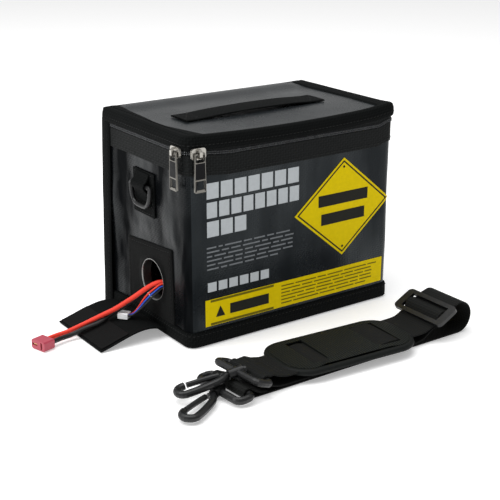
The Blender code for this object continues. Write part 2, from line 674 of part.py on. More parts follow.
def make_power_plug():
    turn = Matrix.Translation(PLUG_CENTRE) @ Matrix.Rotation(PLUG_YAW, 4, 'Z')
    half = [size / 2 for size in PLUG_SIZE]
    outline = [(-half[1] + 1, -half[2]), (half[1] - 1, -half[2]), (half[1], -half[2] + 1),
               (half[1], half[2] - 1), (half[1] - 1, half[2]), (-half[1] + 1, half[2]),
               (-half[1], half[2] - 1), (-half[1], -half[2] + 1)]
    body = prism(outline, -half[0], half[0], "yzx")
    depth = 9.0
    slots = (("plug_contact_flat", (3.9, 0.0), (3.0, 0.9)), ("plug_contact_upright", (-3.9, 0.0), (0.9, 3.0)))
    cuts = []
    for name, (y, z), (half_y, half_z) in slots:
        cuts.append(box((-half[0] - 1, y - half_y, z - half_z), (-half[0] + depth, y + half_y, z + half_z)))
        contact = box((-half[0] + 1, y - half_y + 0.4, z - half_z + 0.4),
                      (-half[0] + depth - GAP, y + half_y - 0.4, z + half_z - 0.4))
        contact.transform(turn)
        finish_object(name, contact, "brass")
    body.transform(turn)
    plug = finish_object("power_plug", body, "plug_red")
    for cut in cuts:
        cut.transform(turn)
        combine(plug, cut, 'DIFFERENCE')


def make_balance_plug():
    turn = Matrix.Translation(BALANCE_PLUG_CENTRE) @ Matrix.Rotation(BALANCE_PLUG_YAW, 4, 'Z')
    half = [size / 2 for size in BALANCE_PLUG_SIZE]
    rib = 0.7
    outline = [(-half[1], -half[2]), (half[1], -half[2]), (half[1], half[2] - rib), (3.1, half[2] - rib),
               (3.1, half[2]), (2.0, half[2]), (2.0, half[2] - rib), (-2.0, half[2] - rib),
               (-2.0, half[2]), (-3.1, half[2]), (-3.1, half[2] - rib), (-half[1], half[2] - rib)]
    body = prism(outline, -half[0], half[0], "yzx")
    body.transform(turn)
    finish_object("balance_plug", body, "white")


# ---- shoulder strap ----------------------------------------------------------------------------
def frame_axes(yaw, tilt=0.0):
    """Directions of a hook frame: out along the hook, across the frame and up."""
    out = Vector((-math.cos(yaw) * math.cos(tilt), -math.sin(yaw) * math.cos(tilt), -math.sin(tilt)))
    across = Vector((-math.sin(yaw), math.cos(yaw), 0))
    return out, across, across.cross(out)


def adjuster_point(u, w):
    c, s = math.cos(ADJUSTER_PITCH), math.sin(ADJUSTER_PITCH)
    return (ADJUSTER_CENTRE[0] + u * c - w * s, ADJUSTER_CENTRE[1], ADJUSTER_CENTRE[2] + u * s + w * c)


def wrap_points(centre, axes, start, end, steps=8):
    """Centreline round a frame's bar, in degrees: 0 is towards the strap, 90 is up."""
    out, _, up = axes
    points = []
    for step in range(steps + 1):
        angle = math.radians(start + (end - start) * step / steps)
        points.append(Vector(centre) + WRAP_RADIUS * (-out * math.cos(angle) + up * math.sin(angle)))
    return points


def strap_stations():
    lower_axes = frame_axes(*LOWER_FRAME)
    upper_axes = frame_axes(*UPPER_FRAME)
    line = []

    def add(point, side=(0, 1, 0)):
        line.append((Vector(point), Vector(side)))

    def level(x, z, axes=lower_axes, turn=0.0):
        side = Vector((0, 1, 0)).lerp(axes[1], turn)
        add((x, STRAP_Y, z), side)

    level(-100, 2.4)
    level(-105, 2.6)
    level(-109, 4.4)
    for point in wrap_points(LOWER_BAR, lower_axes, 45, 262, 9):
        add(point, lower_axes[1])
    level(-108, 0.7)
    level(-98, 0.7)
    for x in (-90, -60, -30, 0, 30, 60, 85):
        level(x, 0.7)
    for x, z in arc((0, 0), 1, -90, 90, 12):
        level(FOLD_CENTRE[0] + FOLD_RADII[0] * x, FOLD_CENTRE[1] + FOLD_RADII[1] * z)
    for u, w in ((14, -2.6), (9.5, -2.6), (7.0, -2.6), (2.3, 1.55), (1.2, 1.8), (-1.2, 1.8), (-2.3, 1.55),
                 (-7.0, -2.6), (-9.5, -2.6), (-14, -2.6)):
        add(adjuster_point(u, w))
    for x, z in ((60.5, 10.0), (56, 9.5), (52, 9.4), (30, 9.4), (0, 9.4), (-30, 9.4), (-60, 9.4), (-80, 9.4),
                 (-88, 11.2), (-94, 14.0)):
        level(x, z)
    for point in wrap_points(UPPER_BAR, upper_axes, 62, 275, 9):
        add(point, upper_axes[1])
    for x, z in ((-95, 5.0), (-88, 3.0), (-80, 2.6), (-30, 2.6), (0, 2.6), (30, 2.6), (52, 2.6), (58.5, 4.5)):
        level(x, z)
    for u, w in ((-14, -4.8), (-9.5, -4.8), (-7, -4.6), (-4, -3.2), (-1.8, -2.4), (1.6, -2.4)):
        add(adjuster_point(u, w))
    stations = []
    for index, (point, side) in enumerate(line):
        before = line[max(index - 1, 0)][0]
        after = line[min(index + 1, len(line) - 1)][0]
        stations.append((point, side, (after - before).cross(side)))
    return stations


def make_strap():
    webbing = ribbon(strap_stations(), STRAP_WIDTH, STRAP_THICKNESS)
    finish_object("strap_webbing", webbing, "webbing", smooth=True)
    turn = Matrix.Translation(ADJUSTER_CENTRE) @ Matrix.Rotation(-ADJUSTER_PITCH, 4, 'Y')
    half = [size / 2 for size in ADJUSTER_SIZE]
    plate = prism(rounded_rectangle(half[0], half[1], 4, steps=4), -half[2], half[2])
    plate.transform(turn)
    adjuster = finish_object("strap_adjuster", plate, "plastic")
    near, far = ADJUSTER_SLOT
    reach = ADJUSTER_SLOT_HALF_WIDTH
    cuts = [box((near, -reach, -4), (far, reach, 4)), box((-far, -reach, -4), (-near, reach, 4)),
            box((-near - 1, -reach, ADJUSTER_BAR_W[1]), (near + 1, reach, 4)),
            box((-near - 1, -reach, -4), (near + 1, reach, ADJUSTER_BAR_W[0]))]
    for cut in cuts:
        cut.transform(turn)
        combine(adjuster, cut, 'DIFFERENCE')


def make_pad():
    middle = (PAD_X[0] + PAD_X[1]) / 2
    half = (PAD_X[1] - PAD_X[0]) / 2
    turn = Matrix.Rotation(PAD_YAW, 2)
    outline = []
    for x, y in rounded_rectangle(half, PAD_HALF_WIDTH, PAD_CORNER, steps=8):
        turned_point = turn @ Vector((x, y))
        outline.append((middle + turned_point.x, PAD_Y + turned_point.y))
    pad = finish_object("shoulder_pad", prism(outline, *PAD_Z), "foam", (middle, STRAP_Y, PAD_Z[0]))
    reach = STRAP_WIDTH / 2 + 0.6
    combine(pad, box((PAD_X[0] - 5, STRAP_Y - reach, PAD_TUNNEL_Z[0]),
                     (PAD_X[1] + 5, STRAP_Y + reach, PAD_TUNNEL_Z[1])), 'DIFFERENCE')
    for low, high in PAD_WINDOWS:
        combine(pad, box((low, STRAP_Y - reach, PAD_TUNNEL_Z[0] + 1),
                         (high, STRAP_Y + reach, PAD_Z[1] + 2)), 'DIFFERENCE')


def make_hook(name, bar_centre, frame_turn, hook_turn):
    """A frame that holds the webbing, and the swivel hook and sprung gate that turn in its barrel."""
    out, across, up = frame_axes(*frame_turn)
    outline = rounded_rectangle(FRAME_DEPTH / 2, FRAME_HALF_WIDTH, 4.5, (FRAME_DEPTH / 2, 0), 4)
    points = [Vector(bar_centre) + u * out + v * across for u, v in outline]
    loop = bar(points, [FRAME_BAR] * len(points), up, closed=True)
    frame = finish_object(name + "_frame", loop, "plastic", smooth=True)

    base = Vector(bar_centre) + FRAME_DEPTH * out
    out, across, up = frame_axes(*hook_turn)

    def place(u, v=0.0):
        return base + u * out + v * across

    combine(frame, cylinder(place(BARREL[0]), place(BARREL[1]), BARREL_RADIUS), 'UNION')
    combine(frame, cylinder(place(BARREL[0] - 1), place(BARREL[1] + 1), BARREL_BORE, 16), 'DIFFERENCE')

    stem = BARREL_BORE - 0.4
    head = 2.9
    pivot = BARREL[1]
    line = [(-14.1, 0, head), (-12.3, 0, head), (-12.1, 0, stem), (0.8, 0, stem), (1.7, 0, HOOK_BAR),
            (3.8, -1.2, HOOK_BAR), (6.4, -3.0, HOOK_BAR), (10, -4.4, HOOK_BAR), (16, -5.4, HOOK_BAR),
            (24, -6.0, HOOK_BAR), (30, -6.2, HOOK_BAR)]
    line += [(35 + u, v, HOOK_BAR) for u, v in arc((0, 0), 6.2, -75, 80, 8)]
    line += [(33.4, 6.3, HOOK_BAR)]
    points = [place(pivot + u, v) for u, v, _ in line]
    hook_bar = bar(points, [radius for *_, radius in line], up, sides=12)
    hook = finish_object(name + "_hook", hook_bar, "plastic", place(pivot), True)
    knuckle = [(1.6, 0.0), (3.2, 1.3), (4.8, 2.5)]
    stub = bar([place(pivot + u, v) for u, v in knuckle], KNUCKLE_RADII, up, sides=12)
    combine(hook, stub, 'UNION')

    gate = [(6.4, 3.3), (12, 4.3), (20, 5.3), (31.6, 6.3)]
    points = [place(pivot + u, v) for u, v in gate]
    finish_object(name + "_gate", bar(points, [GATE_BAR] * len(points), up), "plastic", points[0], True)


clear_scene()
make_skins()
make_padding()
make_lining()
make_bindings()
make_zip_halves()
make_sliders()
make_lid()
make_handle()
make_side_rings()
make_port()
make_flap()
make_pack()
make_leads()
make_power_plug()
make_balance_plug()
make_strap()
make_pad()
make_hook("upper", UPPER_BAR, UPPER_FRAME, UPPER_HOOK)
make_hook("lower", LOWER_BAR, LOWER_FRAME, LOWER_HOOK)
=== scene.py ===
"""The look of the lipo battery safety bag, its pack, its leads and its shoulder strap."""
import math

import bmesh
import bpy
from mathutils import Matrix, Vector, noise


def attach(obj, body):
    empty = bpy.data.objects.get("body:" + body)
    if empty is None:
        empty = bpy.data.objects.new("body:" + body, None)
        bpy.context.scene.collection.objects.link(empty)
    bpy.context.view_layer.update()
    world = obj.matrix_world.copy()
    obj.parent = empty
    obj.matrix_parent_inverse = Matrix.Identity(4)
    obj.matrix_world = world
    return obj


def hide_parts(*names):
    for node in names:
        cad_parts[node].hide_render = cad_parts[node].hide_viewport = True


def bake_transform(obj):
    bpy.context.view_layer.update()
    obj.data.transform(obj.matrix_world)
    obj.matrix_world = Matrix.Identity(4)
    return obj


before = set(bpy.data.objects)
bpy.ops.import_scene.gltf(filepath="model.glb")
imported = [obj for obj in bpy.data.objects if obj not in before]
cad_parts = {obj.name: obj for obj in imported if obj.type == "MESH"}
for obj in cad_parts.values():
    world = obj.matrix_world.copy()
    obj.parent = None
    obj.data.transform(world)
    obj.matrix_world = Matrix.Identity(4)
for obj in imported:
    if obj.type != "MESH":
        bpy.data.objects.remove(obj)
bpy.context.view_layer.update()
MM = 0.001

# ---- the CAD model's sizes, in millimetres -----------------------------------------------------
CORNER_X, CORNER_Y = 97.5, 60.0    # centres of the bag's vertical corner arcs
SKIN = 7.0                         # the bag's outer skin, from those centres
SKIN_LOW, SKIN_TOP = 1.1, 159.0
REAR_Y = 67.0
ZIP_REAR_Y = 59.0
LID_TOP = 175.0
PORT = (-12.0, 44.0)
STRAP_Y = -147.0
LID_FRONT_SAG = 3.0
LEAD_RADIUS = 2.0
WIRE_RADIUS = 0.7

RED_ROUTE = [(-61.3, -20, 22), (-68, -22, 24.5), (-80, -25, 33), (-92, -24.5, 41), (-104, -20.5, 43.8),
             (-112, -15, 39.8), (-124, -7.7, 30), (-137, -0.3, 20.6), (-143, 3.6, 17), (-150, 7.4, 13.2),
             (-163, 12, 7.6), (-176, 13.2, 4.4), (-186, 12.2, 4.2), (-196.4, 9.4, 4.2)]
BLACK_ROUTE = [(-61.3, -26.5, 18.5), (-68, -27, 20), (-80, -26.5, 28), (-92, -22, 35.5), (-104, -16, 39.3),
               (-112, -11.2, 35.3), (-124, -3.9, 25.2), (-137, 3.5, 16.0), (-143, 5.0, 12.1),
               (-150, 3.0, 10.2), (-163, 5.0, 7.4), (-175, 6.2, 4.3), (-185.5, 4.6, 4.2), (-194.3, 1.95, 4.2)]
WIRE_ROUTE = [(-61.0, -31.5, 14), (-70, -31.5, 16), (-82, -31, 26), (-94, -28.2, 37.2), (-104, -24.4, 41.4),
              (-110, -21.5, 37.5), (-116, -17, 30), (-121, -13.2, 22), (-124.2, -9.2, 16.6),
              (-126.5, -6.2, 14.6)]
WIRE_SPACING = (2.1, 2.4)
WIRE_FAN = 5
BALANCE_PLUG_YAW = math.radians(-51)
FLAP_TOP = [(-106.4, 5.9), (-112, 8.8), (-120, 10.9), (-128, 11.2), (-136, 10.1), (-145, 7.9),
            (-155, 5.0), (-163, 2.7), (-168, 1.7)]
FLAP_Y = (-32.0, 44.0)
STRAP_WIDTH = 40.0
SELVAGE = 0.5                      # how far a webbing's rounded edge stands out past its flat faces
CLOTH = 0.7                        # how thick the coated cloth looks
RIM_INSET = 4.2                    # width of the border round the shoulder pad's face
PAD_X = (-76.0, 48.0)
PAD_Y = -146.0
PAD_YAW = math.radians(-4)
PAD_HALF_WIDTH = 31.0
PAD_Z = (6.5, 11.8)
PAD_TUNNEL_TOP = 10.5
PAD_CORNER = 22.0
PAD_WINDOWS = [(-53.0, -38.0), (9.0, 31.0)]
ADJUSTER_CENTRE = (76.5, STRAP_Y, 21.0)
ADJUSTER_PITCH = math.radians(28)
FOLD_CENTRE = (97.0, 14.0)
FOLD_RADII = (13.0, 13.3)
WRAP_RADIUS = 4.1
UPPER_BAR = (-102.5, STRAP_Y, 10.5)
UPPER_FRAME = (math.radians(5), math.radians(-20))     # each frame's yaw and downward tilt
LOWER_BAR = (-118.5, STRAP_Y, 5.0)
LOWER_FRAME = (math.radians(4), math.radians(3))


# ---- mesh tools --------------------------------------------------------------------------------
def add_mesh(name, bm, material, smooth=True, sharp=40):
    """Link a mesh built in millimetres in the bag's frame."""
    bmesh.ops.transform(bm, matrix=Matrix.Scale(MM, 4), verts=bm.verts)
    mesh = bpy.data.meshes.new(name)
    bm.to_mesh(mesh)
    bm.free()
    mesh.materials.append(material)
    if smooth:
        mesh.shade_smooth()
        mesh.set_sharp_from_angle(angle=math.radians(sharp))
    piece = bpy.data.objects.new(name, mesh)
    bpy.context.scene.collection.objects.link(piece)
    return piece


def put(piece, body, replaces=()):
    """Let a piece ride on a body and stand for CAD nodes."""
    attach(piece, body)
    if replaces:
        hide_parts(*replaces)
    return piece


def spread(low, high, count):
    """count + 1 evenly spaced values from low to high."""
    return [low + (high - low) * step / count for step in range(count + 1)]


def grid(bm, rows, closed_rows=False, closed_columns=False, uv=None, flip=False, capped=False):
    """Faces between rows of points.

    uv gives each point's place on the flat cloth in metres, as a function or as two steps.
    """
    layer = bm.loops.layers.uv.verify()
    verts = [[bm.verts.new(point) for point in row] for row in rows]
    row_count, column_count = len(verts), len(verts[0])
    for i in range(row_count if closed_rows else row_count - 1):
        for j in range(column_count if closed_columns else column_count - 1):
            corners = [(i, j), (i, j + 1), (i + 1, j + 1), (i + 1, j)]
            if flip:
                corners.reverse()
            face = bm.faces.new([verts[a % row_count][b % column_count] for a, b in corners])
            if uv:
                for loop, (a, b) in zip(face.loops, corners):
                    loop[layer].uv = uv(a, b) if callable(uv) else (a * uv[0], b * uv[1])
    if capped:
        turn = -1 if flip else 1
        bm.faces.new(verts[0][::turn])
        bm.faces.new(verts[-1][::-turn])
    return verts


def surface(name, rows, material, sharp=40, outward=False, **options):
    """A mesh made of one grid; outward turns its faces to look away from its inside."""
    bm = bmesh.new()
    grid(bm, rows, **options)
    if outward:
        bmesh.ops.recalc_face_normals(bm, faces=bm.faces)
    return add_mesh(name, bm, material, sharp=sharp)


def lay_flat(bm):
    """Take every face's place on the flat cloth from above."""
    layer = bm.loops.layers.uv.verify()
    for face in bm.faces:
        for loop in face.loops:
            loop[layer].uv = (loop.vert.co.x * MM, loop.vert.co.y * MM)


def rounded_outline(middle, half_x, half_y, rear_radius, front_radius, arc_steps, edge_steps=1):
    """Points round a rectangle with rounded corners."""
    arcs = []
    for side_x, side_y, start in ((1, 1, 0), (-1, 1, 90), (-1, -1, 180), (1, -1, 270)):
        radius = rear_radius if side_y > 0 else front_radius
        x = middle[0] + side_x * (half_x - radius)
        y = middle[1] + side_y * (half_y - radius)
        angles = [math.radians(angle) for angle in spread(start, start + 90, arc_steps)]
        arcs.append([(x + radius * math.cos(angle), y + radius * math.sin(angle)) for angle in angles])
    points = []
    for arc, following in zip(arcs, arcs[1:] + arcs[:1]):
        points += arc + seam(arc[-1], following[0], edge_steps)[1:-1]
    return points


def slab(name, rows, material, uv=None):
    """A closed piece from rows that run right round it."""
    bm = bmesh.new()
    verts = grid(bm, rows, closed_rows=True, uv=uv)
    for side in (0, -1):
        bm.faces.new([row[side] for row in verts])
    bmesh.ops.recalc_face_normals(bm, faces=bm.faces)
    return add_mesh(name, bm, material)


def thicken(piece, thickness=CLOTH):
    """Give a single cloth its thickness, inwards."""
    solid = piece.modifiers.new("thickness", "SOLIDIFY")
    solid.thickness = thickness * MM
    solid.offset = -1


def distances(points):
    """Running length along a row of points, in metres."""
    run = [0.0]
    for before, after in zip(points, points[1:]):
        run.append(run[-1] + (Vector(after) - Vector(before)).length * MM)
    return run


def smooth_line(route, spacing):
    """Evenly spaced points on the smooth curve through the route's own points."""
    points = [Vector(point) for point in route]
    points = [2 * points[0] - points[1]] + points + [2 * points[-1] - points[-2]]
    dense = []
    for p0, p1, p2, p3 in zip(points, points[1:], points[2:], points[3:]):
        for step in range(20):
            t = step / 20
            dense.append(0.5 * (2 * p1 + (p2 - p0) * t + (2 * p0 - 5 * p1 + 4 * p2 - p3) * t ** 2
                                + (3 * p1 - p0 - 3 * p2 + p3) * t ** 3))
    dense.append(points[-2])
    length = sum((b - a).length for a, b in zip(dense, dense[1:]))
    count = max(2, round(length / spacing))
    result = [dense[0]]
    walked = 0.0
    for a, b in zip(dense, dense[1:]):
        step = (b - a).length
        while len(result) < count and walked + step >= length * len(result) / count:
            result.append(a.lerp(b, (length * len(result) / count - walked) / step))
        walked += step
    return result + [dense[-1]]


def tube(bm, points, radius, sides=12):
    """A round tube along points, with a frame carried along the line, and closed ends."""
    tangents = [(after - before).normalized()
                for before, after in zip([points[0]] + points[:-1], points[1:] + [points[-1]])]
    side = tangents[0].orthogonal().normalized()
    rows = []
    for point, tangent in zip(points, tangents):
        side = (side - side.dot(tangent) * tangent).normalized()
        other = tangent.cross(side)
        rows.append([point + radius * (math.cos(2 * math.pi * k / sides) * side
                                       + math.sin(2 * math.pi * k / sides) * other) for k in range(sides)])
    run = distances(points)
    grid(bm, rows, closed_columns=True, capped=True,
         uv=lambda a, b: (run[a], 2 * math.pi * radius * MM * b / sides))


def ribbon(bm, line, width, thickness, across=8, crown=0.0):
    """A webbing strip with rounded selvages along (point, side direction) pairs."""
    half = width / 2
    top, bottom = [], []
    for v in spread(-half, half, across):
        bulge = crown * (1 - (v / half) ** 2)
        top.append((v, thickness / 2 + bulge))
        bottom.append((v, bulge - thickness / 2))
    section = [(-half - SELVAGE, 0.0)] + top + [(half + SELVAGE, 0.0)] + bottom[::-1]
    points = [Vector(point) for point, _ in line]
    befores, afters = [points[0]] + points[:-1], points[1:] + [points[-1]]
    rows = []
    for point, (_, side), before, after in zip(points, line, befores, afters):
        side = Vector(side)
        normal = (after - before).cross(side).normalized()
        side = side.normalized()
        rows.append([point + v * side + w * normal for v, w in section])
    run = distances(points)
    grid(bm, rows, closed_columns=True, capped=True,
         uv=lambda a, b: (run[a], section[b % len(section)][0] * MM))


def stitches(bm, points, normals):
    """Thread stitches along a line on a surface: one small rounded bar each."""
    length, gap, width = 2.6, 1.1, 0.55
    points = [Vector(point) for point in points]
    normals = [Vector(normal) for normal in normals]
    run = [value / MM for value in distances(points)]
    start = gap
    while start + length < run[-1]:
        ends = []
        for along in (start, start + length / 2, start + length):
            index = next(i for i in range(len(run) - 1) if run[i + 1] >= along)
            share = (along - run[index]) / max(run[index + 1] - run[index], 1e-6)
            ends.append((points[index].lerp(points[index + 1], share),
                         normals[index].lerp(normals[index + 1], share).normalized()))
        tangent = (ends[2][0] - ends[0][0]).normalized()
        rows = []
        for (point, normal), height, size in zip(ends, (-0.1, 0.3125, -0.1), (0.35, 1.0, 0.35)):
            side = tangent.cross(normal).normalized()
            half = width / 2 * size
            middle = point + normal * height
            rows.append([middle - side * half, middle + normal * half * 0.8,
                         middle + side * half, middle - normal * half])
        grid(bm, rows, closed_columns=True, capped=True)
        start += length + gap


def sew(name, body, seams):
    """Stitching on a body.  Each seam is a row of points and the direction or directions off the cloth."""
    bm = bmesh.new()
    for points, normals in seams:
        if isinstance(normals, tuple):
            normals = [normals] * len(points)
        stitches(bm, points, normals)
    put(add_mesh(name, bm, THREAD), body)


def seam(start, end, count):
    """Evenly spaced points of a straight seam."""
    return [[a + (b - a) * step / count for a, b in zip(start, end)] for step in range(count + 1)]


def ripple(x, y, z, size, seed):
    """Smooth noise from -1 to 1 over millimetres."""
    return noise.noise(Vector((x / size + seed * 7.3, y / size - seed * 3.1, z / size + seed * 1.7)))


# ---- material tools ----------------------------------------------------------------------------
class Finish:
    """A material in the making: one Principled shader and the nodes that feed it."""

    def __init__(self, name, colour, roughness, metallic=0.0, specular=0.5):
        self.material = bpy.data.materials.new(name)
        self.material.use_nodes = True
        self.tree = self.material.node_tree
        self.shader = self.tree.nodes["Principled BSDF"]
        self.colour = colour
        self.set("Base Color", (*colour, 1))
        self.set("Roughness", roughness)
        self.set("Metallic", metallic)
        self.set("Specular IOR Level", specular)

    def set(self, socket, value):
        self.shader.inputs[socket].default_value = value

    def node(self, kind, inputs=None, **settings):
        node = self.tree.nodes.new(kind)
        for key, value in settings.items():
            setattr(node, key, value)
        for key, value in (inputs or {}).items():
            if isinstance(value, bpy.types.NodeSocket):
                self.tree.links.new(value, node.inputs[key])
            else:
                node.inputs[key].default_value = value
        return node

    def place(self, kind="Object"):
        return self.node("ShaderNodeTexCoord").outputs[kind]

    def math(self, operation, first, second=0.0, third=0.0):
        return self.node("ShaderNodeMath", {0: first, 1: second, 2: third}, operation=operation).outputs[0]

    def split(self, place):
        return self.node("ShaderNodeSeparateXYZ", {0: place}).outputs

    def noise(self, place, scale, detail=3.0, roughness=0.55):
        return self.node("ShaderNodeTexNoise", {"Vector": place, "Scale": scale, "Detail": detail,
                                                "Roughness": roughness}).outputs["Fac"]

    def stretched(self, place, scale):
        return self.node("ShaderNodeMapping", {"Vector": place, "Scale": scale}).outputs[0]

    def wave(self, coordinate, pitch):
        """A sine from 0 to 1 with the given pitch in metres."""
        return self.half(self.math("SINE", self.math("MULTIPLY", coordinate, 2 * math.pi / pitch)))

    def half(self, value):
        return self.math("MULTIPLY_ADD", value, 0.5, 0.5)

    def weave(self, place, pitch_u, pitch_v):
        """Over and under threads in the cloth's own directions."""
        u, v = self.split(place)[:2]
        warp = self.wave(u, pitch_u)
        weft = self.wave(v, pitch_v)
        crossing = self.math("MULTIPLY", self.math("SINE", self.math("MULTIPLY", u, math.pi / pitch_u)),
                             self.math("SINE", self.math("MULTIPLY", v, math.pi / pitch_v)))
        threads = self.math("MAXIMUM", self.math("MULTIPLY", warp, self.half(crossing)),
                            self.math("MULTIPLY", weft, self.math("SUBTRACT", 1.0, self.half(crossing))))
        return threads

    def feed(self, socket, value):
        self.tree.links.new(value, self.shader.inputs[socket])

    def ramp(self, value, low, high, start=0.0, end=1.0):
        """low to high while the value goes from start to end."""
        return self.node("ShaderNodeMapRange", {"Value": value, "From Min": start, "From Max": end,
                                                "To Min": low, "To Max": high}).outputs[0]

    def vary_roughness(self, value, low, high):
        self.feed("Roughness", self.ramp(value, low, high))

    def shade(self, value, low, high):
        """Colour between two shares of the material's own."""
        ends = [(*(channel * share for channel in self.colour), 1) for share in (low, high)]
        mix = self.node("ShaderNodeMix", {0: value, 6: ends[0], 7: ends[1]}, data_type="RGBA")
        self.feed("Base Color", mix.outputs[2])

    def bump(self, *layers):
        """Stack bumps: each layer is (height, distance in metres, strength)."""
        normal = None
        for height, distance, strength in layers:
            inputs = {"Height": height, "Distance": distance, "Strength": strength}
            if normal:
                inputs["Normal"] = normal
            normal = self.node("ShaderNodeBump", inputs).outputs[0]
        self.feed("Normal", normal)


# ---- materials ---------------------------------------------------------------------------------
def make_tarp(name, colour, wrinkle, shine, streaks):
    """Coated cloth: a smooth glossy film over a woven scrim that shows through it."""
    f = Finish(name, colour, 0.25, specular=0.25)
    cloth = f.place("UV")
    place = f.place()
    scrim = f.weave(cloth, 0.0019, 0.0019)
    soft = f.noise(place, 42, 4)
    broad = f.noise(place, 14, 2)
    f.vary_roughness(soft, 0.16, 0.36)
    f.shade(f.noise(place, 9, 3), 0.85, 1.25)
    along = f.node("ShaderNodeMapping", {"Vector": place, "Location": (0.21, 0.05, 0.4),
                                         "Scale": (1, 1, 0.25)}).outputs[0]
    gloss = f.ramp(f.noise(along, 30, 3), shine * (1 - streaks), shine * (1 + streaks), 0.38, 0.68)
    glints = f.math("MULTIPLY", scrim, f.ramp(broad, 0.0, 0.35, 0.5, 0.7))
    f.feed("Specular IOR Level", f.math("ADD", gloss, glints))
    f.set("Specular Tint", (0.86, 0.96, 1.0, 1))
    f.bump((broad, 0.006 * wrinkle, 0.35), (soft, 0.0016 * wrinkle, 0.4), (scrim, 0.00012, 0.45))
    return f.material


def make_webbing(name, colour, along, across, rib=0.0002, roughness=0.78, specular=0.14):
    """Woven tape: threads cross over and under in the tape's own directions."""
    f = Finish(name, colour, roughness, specular=specular)
    cloth = f.place("UV")
    threads = f.weave(cloth, along, across)
    fuzz = f.noise(f.place(), 900, 2)
    f.shade(threads, 0.45, 1.7)
    f.bump((fuzz, 0.00008, 0.5), (threads, rib, 0.9))
    return f.material


def make_moulded(name, colour, roughness=0.36, grain=0.00006, metallic=0.0, specular=0.4):
    """Moulded plastic or rubber with a fine grain and slightly uneven gloss."""
    f = Finish(name, colour, roughness, metallic, specular)
    place = f.place()
    f.vary_roughness(f.noise(place, 120, 3), roughness * 0.75, roughness * 1.35)
    f.shade(f.noise(place, 60, 2), 0.85, 1.15)
    f.bump((f.noise(place, 1600, 2), grain, 0.5))
    return f.material


def make_nickel(name, colour=(0.50, 0.48, 0.44), roughness=0.24):
    """Plated metal with faint polishing marks and handling wear."""
    f = Finish(name, colour, roughness, 1.0)
    place = f.place()
    marks = f.noise(f.stretched(place, (1, 1, 9)), 420, 3)
    wear = f.noise(place, 160, 4)
    f.vary_roughness(wear, roughness * 0.6, roughness * 1.9)
    f.shade(wear, 0.75, 1.0)
    f.bump((marks, 0.00004, 0.5))
    return f.material


def make_felt(name, colour, roughness=0.95):
    """Matted fibres."""
    f = Finish(name, colour, roughness, specular=0.1)
    place = f.place()
    fibres = f.noise(place, 700, 5, 0.7)
    f.shade(fibres, 0.6, 1.3)
    f.set("Sheen Weight", 0.03)
    f.bump((f.noise(place, 90, 3), 0.0005, 0.4), (fibres, 0.0003, 0.8))
    return f.material


def make_foam(name, colour):
    """The shoulder pad's anti-slip face: fine ribs across it and tiny grains."""
    f = Finish(name, colour, 0.62, specular=0.12)
    cloth = f.place("UV")
    u, v = f.split(cloth)[:2]
    ribs = f.wave(u, 0.0021)
    grains = f.wave(v, 0.0018)
    knobs = f.math("MULTIPLY", ribs, f.half(grains))
    f.shade(ribs, 0.55, 1.5)
    f.bump((f.noise(f.place(), 60, 3), 0.0008, 0.3), (ribs, 0.00045, 0.8), (knobs, 0.0002, 0.5))
    return f.material


def make_ink(name, colour, roughness=0.42):
    """Screen-printed ink that follows the scrim below it."""
    f = Finish(name, colour, roughness, specular=0.04)
    place = f.place()
    x, _, z = f.split(place)
    threads = f.math("MAXIMUM", f.wave(x, 0.0019), f.wave(z, 0.0019))
    worn = f.noise(place, 350, 4)
    f.shade(worn, 0.86, 1.06)
    f.vary_roughness(worn, roughness * 0.8, roughness * 1.2)
    f.bump((f.noise(place, 42, 4), 0.0012, 0.3), (threads, 0.00008, 0.4))
    return f.material


def make_foil(name, colour):
    """A pouch cell's laminated foil, lightly creased."""
    f = Finish(name, colour, 0.32, 1.0)
    place = f.place()
    creases = f.noise(f.stretched(place, (1, 2.5, 1)), 55, 5)
    f.vary_roughness(creases, 0.22, 0.5)
    f.shade(creases, 0.85, 1.0)
    f.bump((creases, 0.0008, 0.5))
    return f.material


def make_lining(name, colour):
    """Glass-fibre cloth: coarse shiny threads."""
    f = Finish(name, colour, 0.5)
    place = f.place()
    x, y, z = f.split(place)
    level = f.math("ADD", x, y)
    height = f.math("ADD", z, f.math("SUBTRACT", x, y))
    threads = f.math("MULTIPLY", f.wave(level, 0.0026), f.wave(height, 0.0026))
    f.shade(threads, 0.6, 1.5)
    f.set("Sheen Weight", 0.2)
    f.bump((threads, 0.0003, 0.8))
    return f.material


def make_floor_material():
    f = Finish("studio_floor", (0.93, 0.93, 0.93), 0.75, specular=0.1)
    f.set("Emission Color", (1, 1, 1, 1))
    f.set("Emission Strength", 0.3)
    f.bump((f.noise(f.place(), 300, 2), 0.00005, 0.2))
    return f.material


TARP_FRONT = make_tarp("coated_cloth_front", (0.0062, 0.0078, 0.0094), 0.5, 0.2, 0.45)
# The lid takes a lighter copy of the same coated cloth: painted light on the lid's top.
TARP_LID_PAINTED_LIGHTER = make_tarp("coated_cloth_lid_painted_lighter", (0.011, 0.0130, 0.0145), 0.25, 0.25, 0.1)
